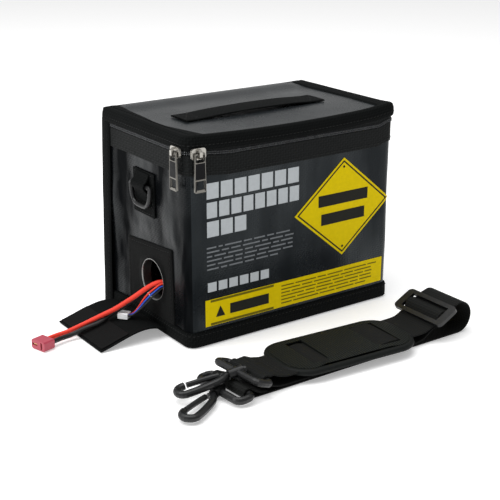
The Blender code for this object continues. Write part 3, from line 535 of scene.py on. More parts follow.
# The left side and the base take a darker copy of the same coated cloth: painted shade on the left side.
TARP_SIDE_PAINTED_DARKER = make_tarp("coated_cloth_side_painted_darker", (0.0028, 0.0032, 0.0037), 1.3, 0.10, 0.95)
WEBBING = make_webbing("strap_webbing_weave", (0.0075, 0.0080, 0.0076), 0.0021, 0.0016)
BINDING = make_webbing("binding_tape_weave", (0.0042, 0.0048, 0.0048), 0.0019, 0.0024, specular=0.05)
ZIP_TAPE = make_webbing("zip_tape_weave", (0.0056, 0.0065, 0.0065), 0.0026, 0.0021, 0.0003, 0.7)
PATCH = make_felt("port_patch_cloth", (0.0030, 0.0033, 0.0032))
FLAP = make_webbing("flap_cloth", (0.0055, 0.0060, 0.0060), 0.0014, 0.0014, 0.00012, 0.9, 0.06)
HOOKS = make_felt("hook_strip_bristle", (0.005, 0.005, 0.005))
THREAD = make_moulded("sewing_thread", (0.012, 0.012, 0.012), 0.6, specular=0.2)
# The coil's grey is partly its own colour and partly painted highlight, raised to stand for the glints along
# the coil.
COIL = make_moulded("zip_coil_nylon", (0.06, 0.063, 0.066), 0.25)
NICKEL = make_nickel("polished_nickel")
# The pulls take a darker copy of the sliders' nickel: painted shade.
PULL_NICKEL_PAINTED_DARKER = make_nickel("pull_nickel_painted_darker", (0.22, 0.21, 0.19), 0.3)
# Near-black nickel for thin sheets on the pulls' faces: painted shade of their sunk fields.
RECESS_SHADE_NICKEL = make_nickel("pull_recess_painted_shade", (0.016, 0.016, 0.017), 0.4)
EYELET = make_nickel("eyelet_nickel", (0.30, 0.30, 0.29), 0.3)
PLASTIC = make_moulded("black_acetal", (0.0062, 0.0066, 0.0070), 0.36)
CASE = make_moulded("pack_case_plastic", (0.015, 0.015, 0.018), 0.42, 0.0001)
WIRES = {"red": make_moulded("red_silicone", (0.85, 0.055, 0.032), 0.42, 0.00003, specular=0.2),
         "black": make_moulded("black_silicone", (0.007, 0.007, 0.007), 0.45, 0.00003),
         "blue": make_moulded("blue_silicone", (0.02, 0.085, 0.55), 0.42, 0.00003)}
PLUG_RED = make_moulded("plug_nylon_red", (0.42, 0.055, 0.085), 0.4, 0.00008)
PLUG_WHITE = make_moulded("plug_nylon_white", (0.92, 0.93, 0.94), 0.4, 0.00005)
BRASS = make_nickel("gold_plated_contact", (0.85, 0.62, 0.25), 0.2)
FOAM = make_foam("shoulder_pad_rubber", (0.0075, 0.0092, 0.0078))
FOAM_RIM = make_moulded("shoulder_pad_border", (0.0062, 0.0074, 0.0068), 0.55, 0.00012, specular=0.12)
FOIL = make_foil("cell_foil", (0.62, 0.63, 0.65))
FELT = make_felt("padding_felt", (0.45, 0.44, 0.40))
LINING = make_lining("lining_glass_cloth", (0.085, 0.085, 0.09))
BOARD = make_moulded("tab_board_mask", (0.02, 0.12, 0.05), 0.35)
YELLOW = make_ink("yellow_ink", (0.74, 0.56, 0.001))
GREY_INK = make_ink("light_grey_ink", (0.50, 0.53, 0.55))
DIM_INK = make_ink("dim_grey_ink", (0.19, 0.203, 0.215))
DARK_INK = make_ink("dark_ink", (0.020, 0.020, 0.016))
OLIVE_INK = make_ink("olive_ink", (0.16, 0.13, 0.008))


# ---- camera, floor and light -------------------------------------------------------------------
def make_camera():
    data = bpy.data.cameras.new("product_camera")
    data.lens = 80.36
    data.sensor_width = 36.0
    data.clip_start = 0.05
    camera = bpy.data.objects.new("product_camera", data)
    camera.location = (-0.53769, -0.77149, 0.37767)
    camera.rotation_euler = (math.radians(90 - 19.487), 0, math.radians(-34.902))
    bpy.context.scene.collection.objects.link(camera)
    bpy.context.scene.camera = camera


def make_floor():
    bm = bmesh.new()
    size = 30000.0
    rows = [[(-size, -size, -0.4), (size, -size, -0.4)], [(-size, size, -0.4), (size, size, -0.4)]]
    grid(bm, rows)
    floor = add_mesh("studio_floor", bm, make_floor_material(), smooth=False)
    return floor


def softbox(name, place, target, size, power, colour=(1, 1, 1)):
    data = bpy.data.lights.new(name, "AREA")
    data.shape = "RECTANGLE"
    data.size, data.size_y = size
    data.energy = power
    data.color = colour
    light = bpy.data.objects.new(name, data)
    light.location = place
    direction = Vector(target) - Vector(place)
    light.rotation_euler = direction.to_track_quat("-Z", "Y").to_euler()
    bpy.context.scene.collection.objects.link(light)


def make_light():
    world = bpy.data.worlds.new("studio")
    world.use_nodes = True
    background = world.node_tree.nodes["Background"]
    background.inputs["Color"].default_value = (1, 1, 1, 1)
    background.inputs["Strength"].default_value = 0.5
    bpy.context.scene.world = world
    bpy.context.scene.view_settings.view_transform = "Standard"
    softbox("overhead", (-0.15, 0.15, 1.6), (0, 0, 0.05), (1.6, 1.6), 21)
    softbox("left_key", (-1.3, 0.3, 1.1), (0, 0, 0.08), (0.7, 0.9), 11)


# ---- cords -------------------------------------------------------------------------------------
def wire_routes():
    """The three balance wires: a stack out of the port that turns to a row at the plug."""
    last = len(WIRE_ROUTE) - 1
    row = Vector((-math.sin(BALANCE_PLUG_YAW), math.cos(BALANCE_PLUG_YAW), 0))
    routes = []
    for order in (-1, 0, 1):
        route = []
        for index, point in enumerate(WIRE_ROUTE):
            before = Vector(WIRE_ROUTE[max(index - 1, 0)])
            after = Vector(WIRE_ROUTE[min(index + 1, last)])
            run = (after - before).normalized()
            turned = max(0.0, (index - WIRE_FAN) / (last - WIRE_FAN))
            side = Vector((0, 0, 1)).lerp(row, turned)
            side = (side - side.dot(run) * run).normalized()
            spacing = WIRE_SPACING[0] + (WIRE_SPACING[1] - WIRE_SPACING[0]) * turned
            route.append(Vector(point) + order * spacing * side)
        routes.append(route)
    return routes


def make_cord(colour, kind, route, radius):
    """A lead from inside the pack, through the port, to its plug."""
    points = smooth_line(route, radius * 2.2)
    bm = bmesh.new()
    tube(bm, points, radius, 14)
    piece = add_mesh(colour + "_" + kind, bm, WIRES[colour])
    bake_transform(piece)
    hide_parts(kind + "_" + colour)
    path = [point * MM for point in points]
    length = sum((b - a).length for a, b in zip(path, path[1:]))
    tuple(path[0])


def make_cords():
    for colour, route in (("red", RED_ROUTE), ("black", BLACK_ROUTE)):
        make_cord(colour, "power_lead", route, LEAD_RADIUS)
    for colour, route in zip(("black", "blue", "red"), wire_routes()):
        make_cord(colour, "balance_wire", route, WIRE_RADIUS)


# ---- bag skin ----------------------------------------------------------------------------------
SIDE_RUN = REAR_Y - 1.1 + CORNER_Y
ARC_RUN = math.pi / 2 * SKIN
FRONT_RUN = 2 * CORNER_X
WHOLE_RUN = 2 * (SIDE_RUN + ARC_RUN) + FRONT_RUN


def around(run):
    """Core point and outward direction at a distance along the skin from its rear left edge."""
    if run > WHOLE_RUN / 2:
        (x, y), (nx, ny) = around(WHOLE_RUN - run)
        return (-x, y), (-nx, ny)
    if run < SIDE_RUN:
        return (-CORNER_X, -CORNER_Y + SIDE_RUN - run), (-1.0, 0.0)
    run -= SIDE_RUN
    if run < ARC_RUN:
        angle = run / SKIN
        return (-CORNER_X, -CORNER_Y), (-math.cos(angle), -math.sin(angle))
    return (-CORNER_X + run - ARC_RUN, -CORNER_Y), (0.0, -1.0)


def runs(rear_y, step):
    """Stations along the U of the wall, from one rear edge to the other."""
    skipped = REAR_Y - 1.1 - rear_y
    span = WHOLE_RUN - 2 * skipped
    count = round(span / step)
    return [skipped + span * index / count for index in range(count + 1)]


def window(value, low, high, soft):
    """1 between low and high, falling smoothly to 0 over a soft margin outside them."""
    if low <= value <= high:
        return 1.0
    t = max(0.0, 1 - (low - value if value < low else value - high) / soft)
    return t * t * (3 - 2 * t)


def shallow(dent):
    """The same dent, but never so deep that the cloth would sink into the padding behind it."""
    return dent if dent > 0 else -0.38 * (1 - math.exp(dent / 0.38))


def rear_swell(x, y, z):
    """How far the left side's rear edge stands out, most of all near the floor."""
    if x > -90 or y < 25:
        return 0.0
    return 5.2 * min(1.0, (y - 25) / 40) ** 2 * max(0.0, 1 - z / 176) ** 0.8


def wall_dent(x, y, z, nx):
    """How far the skin stands off its flat plane, in millimetres; outward is positive."""
    side = abs(nx)
    folds = ripple(x, y, z * 0.22, 15, 1) + 0.6 * ripple(x, y * 1.3, z * 0.3, 8, 2)
    slack = ripple(x * 0.8, y, z, 46, 3)
    front = 0.75 * slack + 0.16 * ripple(x, y, z * 0.6, 19, 4) - 0.2
    left = 0.95 * folds + 0.15 + 0.5 * slack
    dent = front + (left - front) * side
    if side > 0.5:
        held = max(window(y, -46, 33, 9) * window(z, 6, 79, 9), window(y, -19, 19, 8) * window(z, 95, 141, 8))
        dent = dent * (1 - held) - 0.1 * held
    hem = max(window(z, 145, 165, 9), window(z, -5, 8, 8))
    return shallow(dent * (1 - hem)) + rear_swell(x, y, z)


def wall_point(run, z, distance=SKIN):
    (x, y), (nx, ny) = around(run)
    dent = wall_dent(x + nx * SKIN, y + ny * SKIN, z, nx)
    reach = distance + dent
    return Vector((x + nx * reach, y + ny * reach, z))


def cut_port(bm):
    """Take out a wall's faces where the lead port goes through."""
    hole = []
    for face in bm.faces:
        x, y, z = face.calc_center_median()
        if x < -97 and math.hypot(y - PORT[0], z - PORT[1]) < 18.4:
            hole.append(face)
    bmesh.ops.delete(bm, geom=hole, context="FACES")


def make_wrap():
    stations = runs(REAR_Y - 1.1, 2.6)
    heights = spread(SKIN_LOW, SKIN_TOP, 60)
    bm = bmesh.new()
    grid(bm, [[wall_point(run, z) for run in stations] for z in heights],
         uv=lambda a, b: (stations[b] * MM, heights[a] * MM))
    cut_port(bm)
    piece = add_mesh("bag_wrap_cloth", bm, TARP_FRONT, sharp=80)
    # The left side's faces take the darker copy of the cloth: painted shade.
    piece.data.materials.append(TARP_SIDE_PAINTED_DARKER)
    for polygon in piece.data.polygons:
        if polygon.center.x < -(CORNER_X + 4) * MM:
            polygon.material_index = 1
    thicken(piece)
    put(piece, "bag", ["wrap_panel"])


def make_back():
    rows = []
    for z in spread(SKIN_LOW, 170.5, 48):
        row = []
        for x in spread(-104.3, 104.3, 60):
            hem = max(window(abs(x), 96, 120, 8), window(z, 160, 180, 8), window(z, -5, 8, 8))
            dent = 0.9 * ripple(x, 0, z, 48, 5) + 0.3 * ripple(x, 0, z, 17, 6) - 0.2
            row.append((x, REAR_Y + shallow(dent * (1 - hem)), z))
        rows.append(row)
    piece = surface("bag_back_cloth", rows, TARP_FRONT, 80, flip=True,
                    uv=lambda a, b: (b * 0.0035, a * 0.0035))
    thicken(piece)
    put(piece, "bag", ["back_panel"])


def u_band(name, profile, rear_y, material, body, replaces=(), shift=None, uneven=0.0):
    """A band swept along the bag's U.  profile is (distance, z) points round the band's own section."""
    stations = runs(rear_y, 3.0)
    rows = []
    for run in stations:
        (x, y), (nx, ny) = around(run)
        drop = shift(run) if shift else 0.0
        row = []
        for distance, z in profile:
            reach = distance + uneven * ripple(x + nx * 7, y + ny * 7, z, 21, 8) + rear_swell(x, y, z)
            row.append((x + nx * reach, y + ny * reach, z + drop))
        rows.append(row)
    lengths = distances([(0, distance, z) for distance, z in profile + profile[:1]])
    piece = surface(name, rows, material, closed_columns=True, capped=True,
                    uv=lambda a, b: (stations[a] * MM, lengths[b]))
    put(piece, body, replaces)


def u_stitches(name, rear_y, distance, z, body, shift=None):
    """A row of stitches along the bag's U."""
    points, normals = [], []
    for run in runs(rear_y, 2.0):
        (x, y), (nx, ny) = around(run)
        drop = shift(run) if shift else 0.0
        points.append((x + nx * distance, y + ny * distance, z + drop))
        normals.append((nx, ny, 0))
    sew(name, body, [(points, normals)])


def x_band(name, section, half_x, count, sway, uv):
    """A band from side to side.  sway is how far its points stray along y and z, then the size and seed."""
    sway_y, sway_z, size, seed = sway
    rows = []
    for x in spread(-half_x, half_x, count):
        row = []
        for y, z in section:
            stray = ripple(x, y, z, size, seed)
            row.append((x, y + sway_y * stray, z + sway_z * stray))
        rows.append(row)
    return surface(name, rows, BINDING, closed_columns=True, capped=True, flip=True, uv=uv)


def front_share(run):
    """0 at the bag's front corners and 1 in the middle of its front."""
    t = (run - SIDE_RUN - ARC_RUN) / FRONT_RUN
    return math.sin(math.pi * t) if 0 < t < 1 else 0.0


def lid_shift(run):
    """The lid's edge hangs a little in the middle of the front and stands up at the corners."""
    share = front_share(run)
    corner = math.exp(-((run - SIDE_RUN - ARC_RUN - FRONT_RUN) / 14) ** 2)
    return -LID_FRONT_SAG * share ** 0.8 + 1.3 * corner


def zip_shift(run):
    """The zip hangs a little lower along the front than at the slider's corner."""
    t = (run - SIDE_RUN - ARC_RUN) / FRONT_RUN
    if not 0 < t < 1:
        return 0.0
    return -3.2 * min(1.0, t / 0.16) * min(1.0, (1 - t) / 0.05)


def add_tooth(bm, run, middle_z):
    """One turn of the zip's coil, rounded off towards its ends."""
    (x, y), (nx, ny) = around(run)
    rows = []
    for along, size in ((-0.55, 0.55), (-0.25, 1.0), (0.25, 1.0), (0.55, 0.55)):
        ring = []
        for reach, height in ((7.2, 0.5), (7.75, 1.0), (8.45, 0.75), (8.75, 0.0), (8.45, -0.75),
                              (7.75, -1.0), (7.2, -0.5)):
            reach = 7.95 + (reach - 7.95) * size
            ring.append((x + nx * reach - ny * along, y + ny * reach + nx * along,
                         middle_z + 0.65 * height * size + zip_shift(run)))
        rows.append(ring)
    grid(bm, rows, closed_columns=True, capped=True)


def make_zip():
    lower = [(7.3, 144.8), (7.95, 144.6), (8.1, 145.4), (8.0, 154), (8.05, 160.9), (7.3, 161.1)]
    upper = [(7.3, 164.5), (8.05, 164.4), (8.0, 169), (8.0, 174.6), (7.3, 174.7)]
    u_band("lower_zip_cloth", lower, ZIP_REAR_Y, ZIP_TAPE, "bag", ["lower_zip_tape"], zip_shift, 0.12)
    u_band("upper_zip_cloth", upper, ZIP_REAR_Y, ZIP_TAPE, "lid", ["upper_zip_tape"], zip_shift)
    u_stitches("lower_zip_stitching", ZIP_REAR_Y, 8.15, 147.4, "bag", zip_shift)
    for name, teeth_z, body in (("lower_zip", 162.1, "bag"), ("upper_zip", 163.6, "lid")):
        bm = bmesh.new()
        for run in runs(ZIP_REAR_Y, 1.5)[:-1]:
            add_tooth(bm, run + 0.75, teeth_z)
        put(add_mesh(name + "_teeth", bm, COIL), body, [name + "_coil"])


def make_bindings():
    band = [(7.9, 165.6), (9.2, 165.3), (9.95, 166.6), (10.15, 169.5), (9.9, 173), (9.0, 175.6), (7.4, 176.6),
            (5.4, 176.8), (3.8, 176.5), (3.2, 175.9), (3.4, 175.3), (5.2, 175.4), (7.2, 175.1), (8.1, 173.5),
            (8.1, 167)]
    u_band("lid_edge_binding", band, 63.5, BINDING, "lid", ["lid_binding"], lid_shift, 0.3)
    u_stitches("lid_edge_stitching", 63.0, 10.15, 169.2, "lid", lid_shift)
    foot = [(7.15, 0.35), (8.3, 0.3), (9.1, 1.1), (9.2, 5.0), (8.9, 11.6), (8.3, 12.8), (7.2, 12.9)]
    u_band("foot_binding", foot, 66.0, BINDING, "bag", ["bottom_binding"], uneven=0.25)
    u_stitches("foot_binding_stitching", 66.0, 9.0, 10.6, "bag")
    make_rear_binding("left", -1)
    make_rear_binding("right", 1)
    rear_foot = [(67.3, 0.35), (68.6, 0.3), (69.2, 1.1), (69.2, 5.0), (69.0, 11.6), (68.3, 12.8),
                 (67.3, 12.9)]
    put(x_band("rear_foot_binding", rear_foot, 104, 70, (0.2, 0, 22, 4), (0.003, 0.003)), "bag")
    make_hinge_cloth()


def make_rear_binding(name, side):
    """The woven tape folded round a rear vertical seam."""
    profile = [(104.6, 54.4), (105.6, 54.1), (106.4, 55.2), (106.6, 60.5), (106.5, 66.4), (105.4, 68.4),
               (102.5, 69.0), (98.6, 68.9), (97.4, 68.3), (98.2, 67.5), (102.5, 67.5), (104.7, 66.6),
               (104.9, 60.0)]
    heights = spread(0.6, 176.0, 56)
    rows = []
    for z in heights:
        sway = 0.35 * ripple(side * 105, 60, z, 24, 9)
        crown = 2.5 * max(0.0, (z - 166) / 10) ** 2
        rows.append([(side * (x + sway - crown + rear_swell(side * x, 66, z) * (x > 100)),
                      y + 0.5 * sway - crown, z) for x, y in profile])
    lengths = distances([(x, y, 0) for x, y in profile + profile[:1]])
    piece = surface("rear_" + name + "_edge_tape", rows, BINDING, closed_columns=True, capped=True,
                    flip=side < 0, uv=lambda a, b: (heights[a] * MM, lengths[b]))
    put(piece, "bag", ["rear_" + name + "_binding"])
    line = [(side * (106.65 + rear_swell(side * 106, 66, z)), 56.8, z) for z in heights[2:-6]]
    sew("rear_" + name + "_edge_stitching", "bag", [(line, (side, 0, 0))])


def left_fold_width(y):
    """The left fold is narrow in the middle, wider at the back and rounds off the front corner."""
    back = min(1.0, max(0.0, (y + 5) / 60)) ** 0.7
    corner = max(0.0, (-y - 25) / 33) ** 1.2
    return 0.3 + 4.7 * back + 11.1 * corner


def make_lid_folds():
    """The edge tape's inner fold, which lies over the lid's two sides."""
    lifts = ((0.0, 1.2), (0.04, 1.8), (0.3, 1.9), (0.7, 1.5), (0.94, 1.1), (1.0, -0.3))
    for name, side in (("left", -1), ("right", 1)):
        rows = []
        for y in spread(-63.5, 63.5, 60):
            wide = left_fold_width(y) if side < 0 else 5.0
            wide += 0.7 * ripple(0, y, side, 26, 31)
            row = []
            for share, lift in lifts:
                x = 100.8 - share * (wide + 2.5)
                row.append((side * x, y, lid_height(side * x, y, 104.3 - x) + lift))
            rows.append(row)
        piece = surface("lid_" + name + "_fold", rows, BINDING, 70, uv=(0.0021, 0.0018), flip=side > 0)
        put(piece, "lid")


def make_rim():
    """The tape over the walls' upper edges, seen when the lid is open."""
    band = [(2.0, 157.5), (1.7, 161.0), (2.6, 162.1), (4.6, 162.4), (6.4, 162.1), (7.1, 161.2), (7.05, 159.4),
            (5.0, 158.9)]
    u_band("wall_rim_tape", band, 62.5, BINDING, "bag", uneven=0.15)
    back = [(62.0, 161.0), (62.2, 168.6), (63.2, 169.5), (65.6, 169.6), (66.1, 168.8), (66.05, 161.0)]
    put(x_band("back_rim_tape", back, 103.2, 60, (0, 0.15, 20, 33), (0.0034, 0.002)), "bag")


def lining_sag(x, y, z):
    """How far the lining hangs off its wall."""
    return max(0.0, 0.35 * ripple(x, y, z, 30, 41) + 0.12 * ripple(x, y, z, 11, 42))


def flat_lining(name, z, y_range, half_x, share, flip):
    rows = [[(x, y, z + share * lining_sag(x, y, z)) for x in spread(-half_x, half_x, 60)]
            for y in spread(*y_range, 40)]
    return surface(name, rows, LINING, flip=flip)


def make_linings():
    """The glass-cloth lining of the walls and floor, and the lid's."""
    outline = []
    for run in runs(62.6, 3.2):
        (x, y), (nx, ny) = around(run)
        outline.append((x + nx * 2.15, y + ny * 2.15, nx, ny))
    outline += [(x, 62.6, 0.0, 1.0) for x in spread(outline[-1][0], outline[0][0], 62)[1:-1]]
    rows = []
    for z in spread(5.0, 161.4, 48):
        row = []
        for x, y, nx, ny in outline:
            sag = lining_sag(x, y, z)
            row.append((x - nx * sag, y - ny * sag, z))
        rows.append(row)
    bm = bmesh.new()
    grid(bm, rows, closed_columns=True, flip=True)
    cut_port(bm)
    put(add_mesh("inner_lining_cloth", bm, LINING), "bag", ["inner_lining"])
    put(flat_lining("lining_floor_cloth", 5.0, (-62.0, 62.4), 99.4, 0.3, False), "bag")
    lid = flat_lining("lid_lining_cloth", 170.1, (-66.5, 66.0), 103.8, -1, True)
    put(lid, "lid", ["lid_lining"])


def make_pull_panels():
    """Dark sheets over each pull's faces, painted shade for its sunk fields, which leave a thin bright frame
    and two bars.
    """
    fields = [(-1, 3.25, 162.4, 156.9), (1, 3.25, 162.4, 156.9), (0, 0, 155.8, 143.0),
              (-1, 3.65, 141.9, 133.6), (1, 3.65, 141.9, 133.6)]
    side_turn = (Matrix.Translation((-CORNER_X + CORNER_Y, -56, 0)) @ Matrix.Rotation(-math.pi / 2, 4, "Z"))
    for name, turn in (("front", Matrix.Translation((-97, 0, 0))), ("side", side_turn)):
        bm = bmesh.new()
        for side, inner, high, low in fields:
            for y, back in ((-73.76, -73.69), (-72.24, -72.31)):
                rows = []
                for z in (high, (high + low) / 2, low):
                    outer = 4.6 + 0.7 * (163.55 - z) / 30 - 0.5
                    left, right = sorted((side * inner if side else -outer, side * outer if side else outer))
                    rows.append([(left, back, z), (left + 0.1, y, z), (right - 0.1, y, z), (right, back, z)])
                grid(bm, rows)
        bmesh.ops.recalc_face_normals(bm, faces=bm.faces)
        bm.transform(turn)
        put(add_mesh("pull_shade_panel_" + name, bm, RECESS_SHADE_NICKEL, smooth=False), "pull_" + name)


def make_hinge_cloth():
    """The tape sewn over the lid's rear seam."""
    section = [(67.9, 164.0), (68.7, 166.0), (68.9, 170.0), (68.8, 173.0), (68.2, 174.8), (66.9, 175.7),
               (65.4, 176.0), (64.0, 176.0), (63.4, 175.3)]
    inner = [(y - 0.7, z) if z < 175 else (y - 0.21, z - 0.7) for y, z in section]
    piece = x_band("lid_hinge_cloth", section + inner[::-1], 104.6, 70, (0.25, 0, 22, 5), (0.003, 0.0024))
    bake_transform(piece)


# ---- lid ---------------------------------------------------------------------------------------
def lid_height(x, y, inset):
    wave = 0.45 * ripple(x, y, 0, 70, 11) + 0.12 * ripple(x, y, 0, 24, 12) - 0.25
    edge = min(1.0, inset / 16)
    front = max(0.0, 1 - (y + 67) / 52) ** 1.5 * (1 - min(1.0, abs(x) / 104) ** 2)
    rear = window(y, 55, 58, 16) * window(abs(x), -1, 84, 16)
    return LID_TOP + wave * edge - 2.9 * front + 2.0 * rear


def make_lid():
    rows = []
    for inset in (0, 1.2, 3, 6, 10, 15, 21, 28, 36, 44, 52, 58, 62, 64.5):
        outline = rounded_outline((0, -0.1), 104.3 - inset, 66.8 - inset, max(3.0 - inset * 0.3, 0.8),
                                  max(7.0 - inset * 0.3, 0.8), 4, 24)
        rows.append([(x, y, lid_height(x, y, inset) - (0 if inset else 0.6)) for x, y in outline])
    bm = bmesh.new()
    verts = grid(bm, rows, closed_columns=True)
    bm.faces.new(verts[-1])
    lay_flat(bm)
    bmesh.ops.recalc_face_normals(bm, faces=bm.faces)
    piece = add_mesh("lid_top_cloth", bm, TARP_LID_PAINTED_LIGHTER, sharp=80)
    if piece.data.polygons[len(piece.data.polygons) // 2].normal.z < 0:
        piece.data.flip_normals()
    thicken(piece)
    put(piece, "lid", ["lid_panel"])


def make_lid_padding():
    """The lid's felt board, which gives where the lid's cloth hangs."""
    xs = spread(-103.4, 103.4, 40)
    ys = spread(-65.8, 65.6, 28)
    rows = [[(x, y, lid_height(x, y, y + 66.9) - 0.8) for x in xs] for y in ys]
    rows += [[(x, y, 170.9) for x in xs] for y in (ys[-1], ys[0])]
    put(slab("lid_felt", rows, FELT), "lid", ["lid_padding"])


HANDLE_LINE = [(-76.0, 176.0), (-70, 176.0), (-62, 176.1), (-48, 176.9), (-30, 177.5), (-8, 177.8),
               (12, 177.7), (32, 177.3), (48, 176.4), (58, 176.0), (66, 176.0)]


def make_handle():
    points = [Vector((point.x, point.y + 0.5 * math.sin(point.x / 40), max(point.z, 176.0)))
              for point in smooth_line([(x, -8.0, z) for x, z in HANDLE_LINE], 2.4)]
    bm = bmesh.new()
    ribbon(bm, [(point, (0, 1, 0)) for point in points], 24.0, 1.3, 10, crown=0.25)
    put(add_mesh("handle_webbing", bm, BINDING), "lid", ["handle_strap"])
    seams = []
    for x0, x1 in ((-74.5, -62.5), (52.5, 64.5)):
        a, b, c, d = [(x, y, 176.8) for x, y in ((x0, -17.5), (x1, -17.5), (x1, 1.5), (x0, 1.5))]
        for start, end in ((a, b), (b, c), (c, d), (d, a), (a, c), (b, d)):
            seams.append((seam(start, end, 6), (0, 0, 1)))
    sew("handle_stitching", "lid", seams)


# ---- side rings and port -----------------------------------------------------------------------
def make_ring_tab(name, side):
    """The webbing plate sewn to the wall and the loop that holds the ring."""
    skin = CORNER_X + SKIN
    plate = seam((side * (skin + 0.95), 0, 98), (side * (skin + 0.95), 0, 135), 14)
    loop = [(1.9, 133.6), (2.3, 132.2), (3.4, 129.8)]
    for angle in spread(75, -75, 6):
        loop.append((4.4 + 3.1 * math.cos(math.radians(angle)), 123.5 + 3.6 * math.sin(math.radians(angle))))
    loop += [(3.4, 116.0), (2.3, 112.5), (1.9, 110.0)]
    points = smooth_line([(side * (skin + out), 0, z) for out, z in loop], 1.5)
    bm = bmesh.new()
    ribbon(bm, [(point, (0, 1, 0)) for point in plate], 33.0, 1.2)
    ribbon(bm, [(point, (0, 1, 0)) for point in points], 20.0, 1.2, crown=0.1)
    put(add_mesh(name + "_ring_webbing", bm, BINDING), "bag", [name + "_ring_tab"])
    x = side * (skin + 1.6)
    seams = [(seam((x, y0, z0), (x, y1, z1), 8), (side, 0, 0)) for y0, z0, y1, z1 in
             ((-15, 100, 15, 100), (-15, 100, -15, 133), (15, 100, 15, 133), (-15, 133, 15, 133),
              (-15, 107, 15, 107))]
    sew(name + "_ring_stitching", "bag", seams)


PATCH_CORNERS = [(-43.5, 9.4), (-42.0, 78.0), (31.0, 71.2), (31.0, 9.4)]


def patch_edge(angle):
    """The point (y, z) where a ray from the port's middle leaves the patch's outline."""
    run_y, run_z = math.cos(angle), math.sin(angle)
    reaches = []
    for (y0, z0), (y1, z1) in zip(PATCH_CORNERS, PATCH_CORNERS[1:] + PATCH_CORNERS[:1]):
        cross = run_y * (z1 - z0) - run_z * (y1 - y0)
        if abs(cross) > 1e-9:
            reaches.append(((y0 - PORT[0]) * (z1 - z0) - (z0 - PORT[1]) * (y1 - y0)) / cross)
    frayed = min(reach for reach in reaches if reach > 0) + 0.3 * noise.noise(Vector((angle * 30, 2, 5)))
    return PORT[0] + frayed * run_y, PORT[1] + frayed * run_z


def make_patch():
    """The cloth round the port: it laps over the eyelet's rim and thins to a frayed edge."""
    profile = [(0.0, 1.2), (0.0, 2.5), (0.03, 2.8), (0.07, 2.5), (0.12, 1.6), (0.3, 1.35), (0.6, 1.3),
               (0.94, 1.2), (0.985, 0.9), (1.0, 0.15)]
    rows = []
    for share, out in profile:
        row = []
        for angle in spread(0, 2 * math.pi, 144)[:-1]:
            y1, z1 = patch_edge(angle)
            y0, z0 = PORT[0] + 17.9 * math.cos(angle), PORT[1] + 17.9 * math.sin(angle)
            y, z = y0 + (y1 - y0) * share, z0 + (z1 - z0) * share
            sway = 0.25 * ripple(y, z, 0, 14, 21) if 0.1 < share < 0.95 else 0.0
            row.append((-(CORNER_X + SKIN + out + sway), y, z))
        rows.append(row)
    piece = surface("port_patch_cloth", rows, PATCH, 70, outward=True, closed_columns=True)
    put(piece, "bag", ["port_patch"])


def make_port_stitching():
    x = -(CORNER_X + SKIN + 1.4)
    corners = [(x, -40.5, 12), (x, -39, 75), (x, 28, 68.7), (x, 28, 12)]
    sides = zip(corners, corners[1:] + corners[:1])
    sew("port_stitching", "bag", [(seam(start, end, 12), (-1, 0, 0)) for start, end in sides])


def flap_layer(name, points, y_range, lift, thick, material):
    """One cloth of the flap: a closed slab that follows its line."""
    top, bottom = [], []
    for point, before, after in zip(points, points[:1] + points[:-1], points[1:] + points[-1:]):
        run = (after - before).normalized()
        for rows, height in ((top, lift), (bottom, lift - thick)):
            x, z = point.x + run.z * height, point.z - run.x * height
            rows.append([(x, y, z) for y in spread(*y_range, 30)])
    loop = top + bottom[::-1]
    return slab(name, loop, material, lambda a, b: (min(a, len(loop) - a) * 0.002, b * 0.0025))


def make_flap():
    """The port's flap, open and lying over the floor, with its hook strip."""
    line = smooth_line([(x, 0, z) for x, z in FLAP_TOP], 2.0)
    outer = [point for point in line if -167.0 < point.x < -141.0]
    cloth = flap_layer("port_flap_cloth", line, FLAP_Y, 0.0, 1.3, FLAP)
    hooks = flap_layer("port_flap_hooks", outer, (FLAP_Y[0] + 1.5, FLAP_Y[1] - 1.5), 1.15, 0.8, HOOKS)
    put(cloth, "flap", ["port_flap"])
    put(hooks, "flap", ["flap_hook_strip"])


# ---- printed shapes ----------------------------------------------------------------------------
def front_point(x, z, lift):
    point = wall_point(SIDE_RUN + ARC_RUN + CORNER_X + x, z)
    return Vector((x, point.y - lift, z))


def print_patch(bm, corners, lift):
    """A printed four-sided patch that follows the front cloth.  corners go round it as (x, z)."""
    a, b, c, d = [Vector(corner) for corner in corners]
    across = max(1, round(max((b - a).length, (c - d).length) / 4))
    up = max(1, round(max((d - a).length, (c - b).length) / 4))
    rows = []
    for t in spread(0, 1, up):
        places = [a.lerp(b, s).lerp(d.lerp(c, s), t) for s in spread(0, 1, across)]
        rows.append([front_point(place.x, place.y, lift) for place in places])
    grid(bm, rows)


def print_layer(name, patches, lift, ink):
    bm = bmesh.new()
    for corners in patches:
        print_patch(bm, corners, lift)
    put(add_mesh(name, bm, ink, sharp=80), "bag")


def bar(x, z, width, height):
    """A level bar's corners, from its lower left one."""
    return [(x, z), (x + width, z), (x + width, z + height), (x, z + height)]


def diamond(middle, half_width, half_height, size=1.0):
    x, z = middle
    return [(x - half_width * size, z), (x, z - half_height * size),
            (x + half_width * size, z), (x, z + half_height * size)]


def word_bars(lines, x, z, pitch, gap, height):
    """A thin bar for each word of small print; the first line's middle is at z."""
    bars = []
    for index, widths in enumerate(lines):
        left = x
        for width in widths:
            bars.append(bar(left, z - pitch * index - height / 2, width, height))
            left += width + gap
    return bars


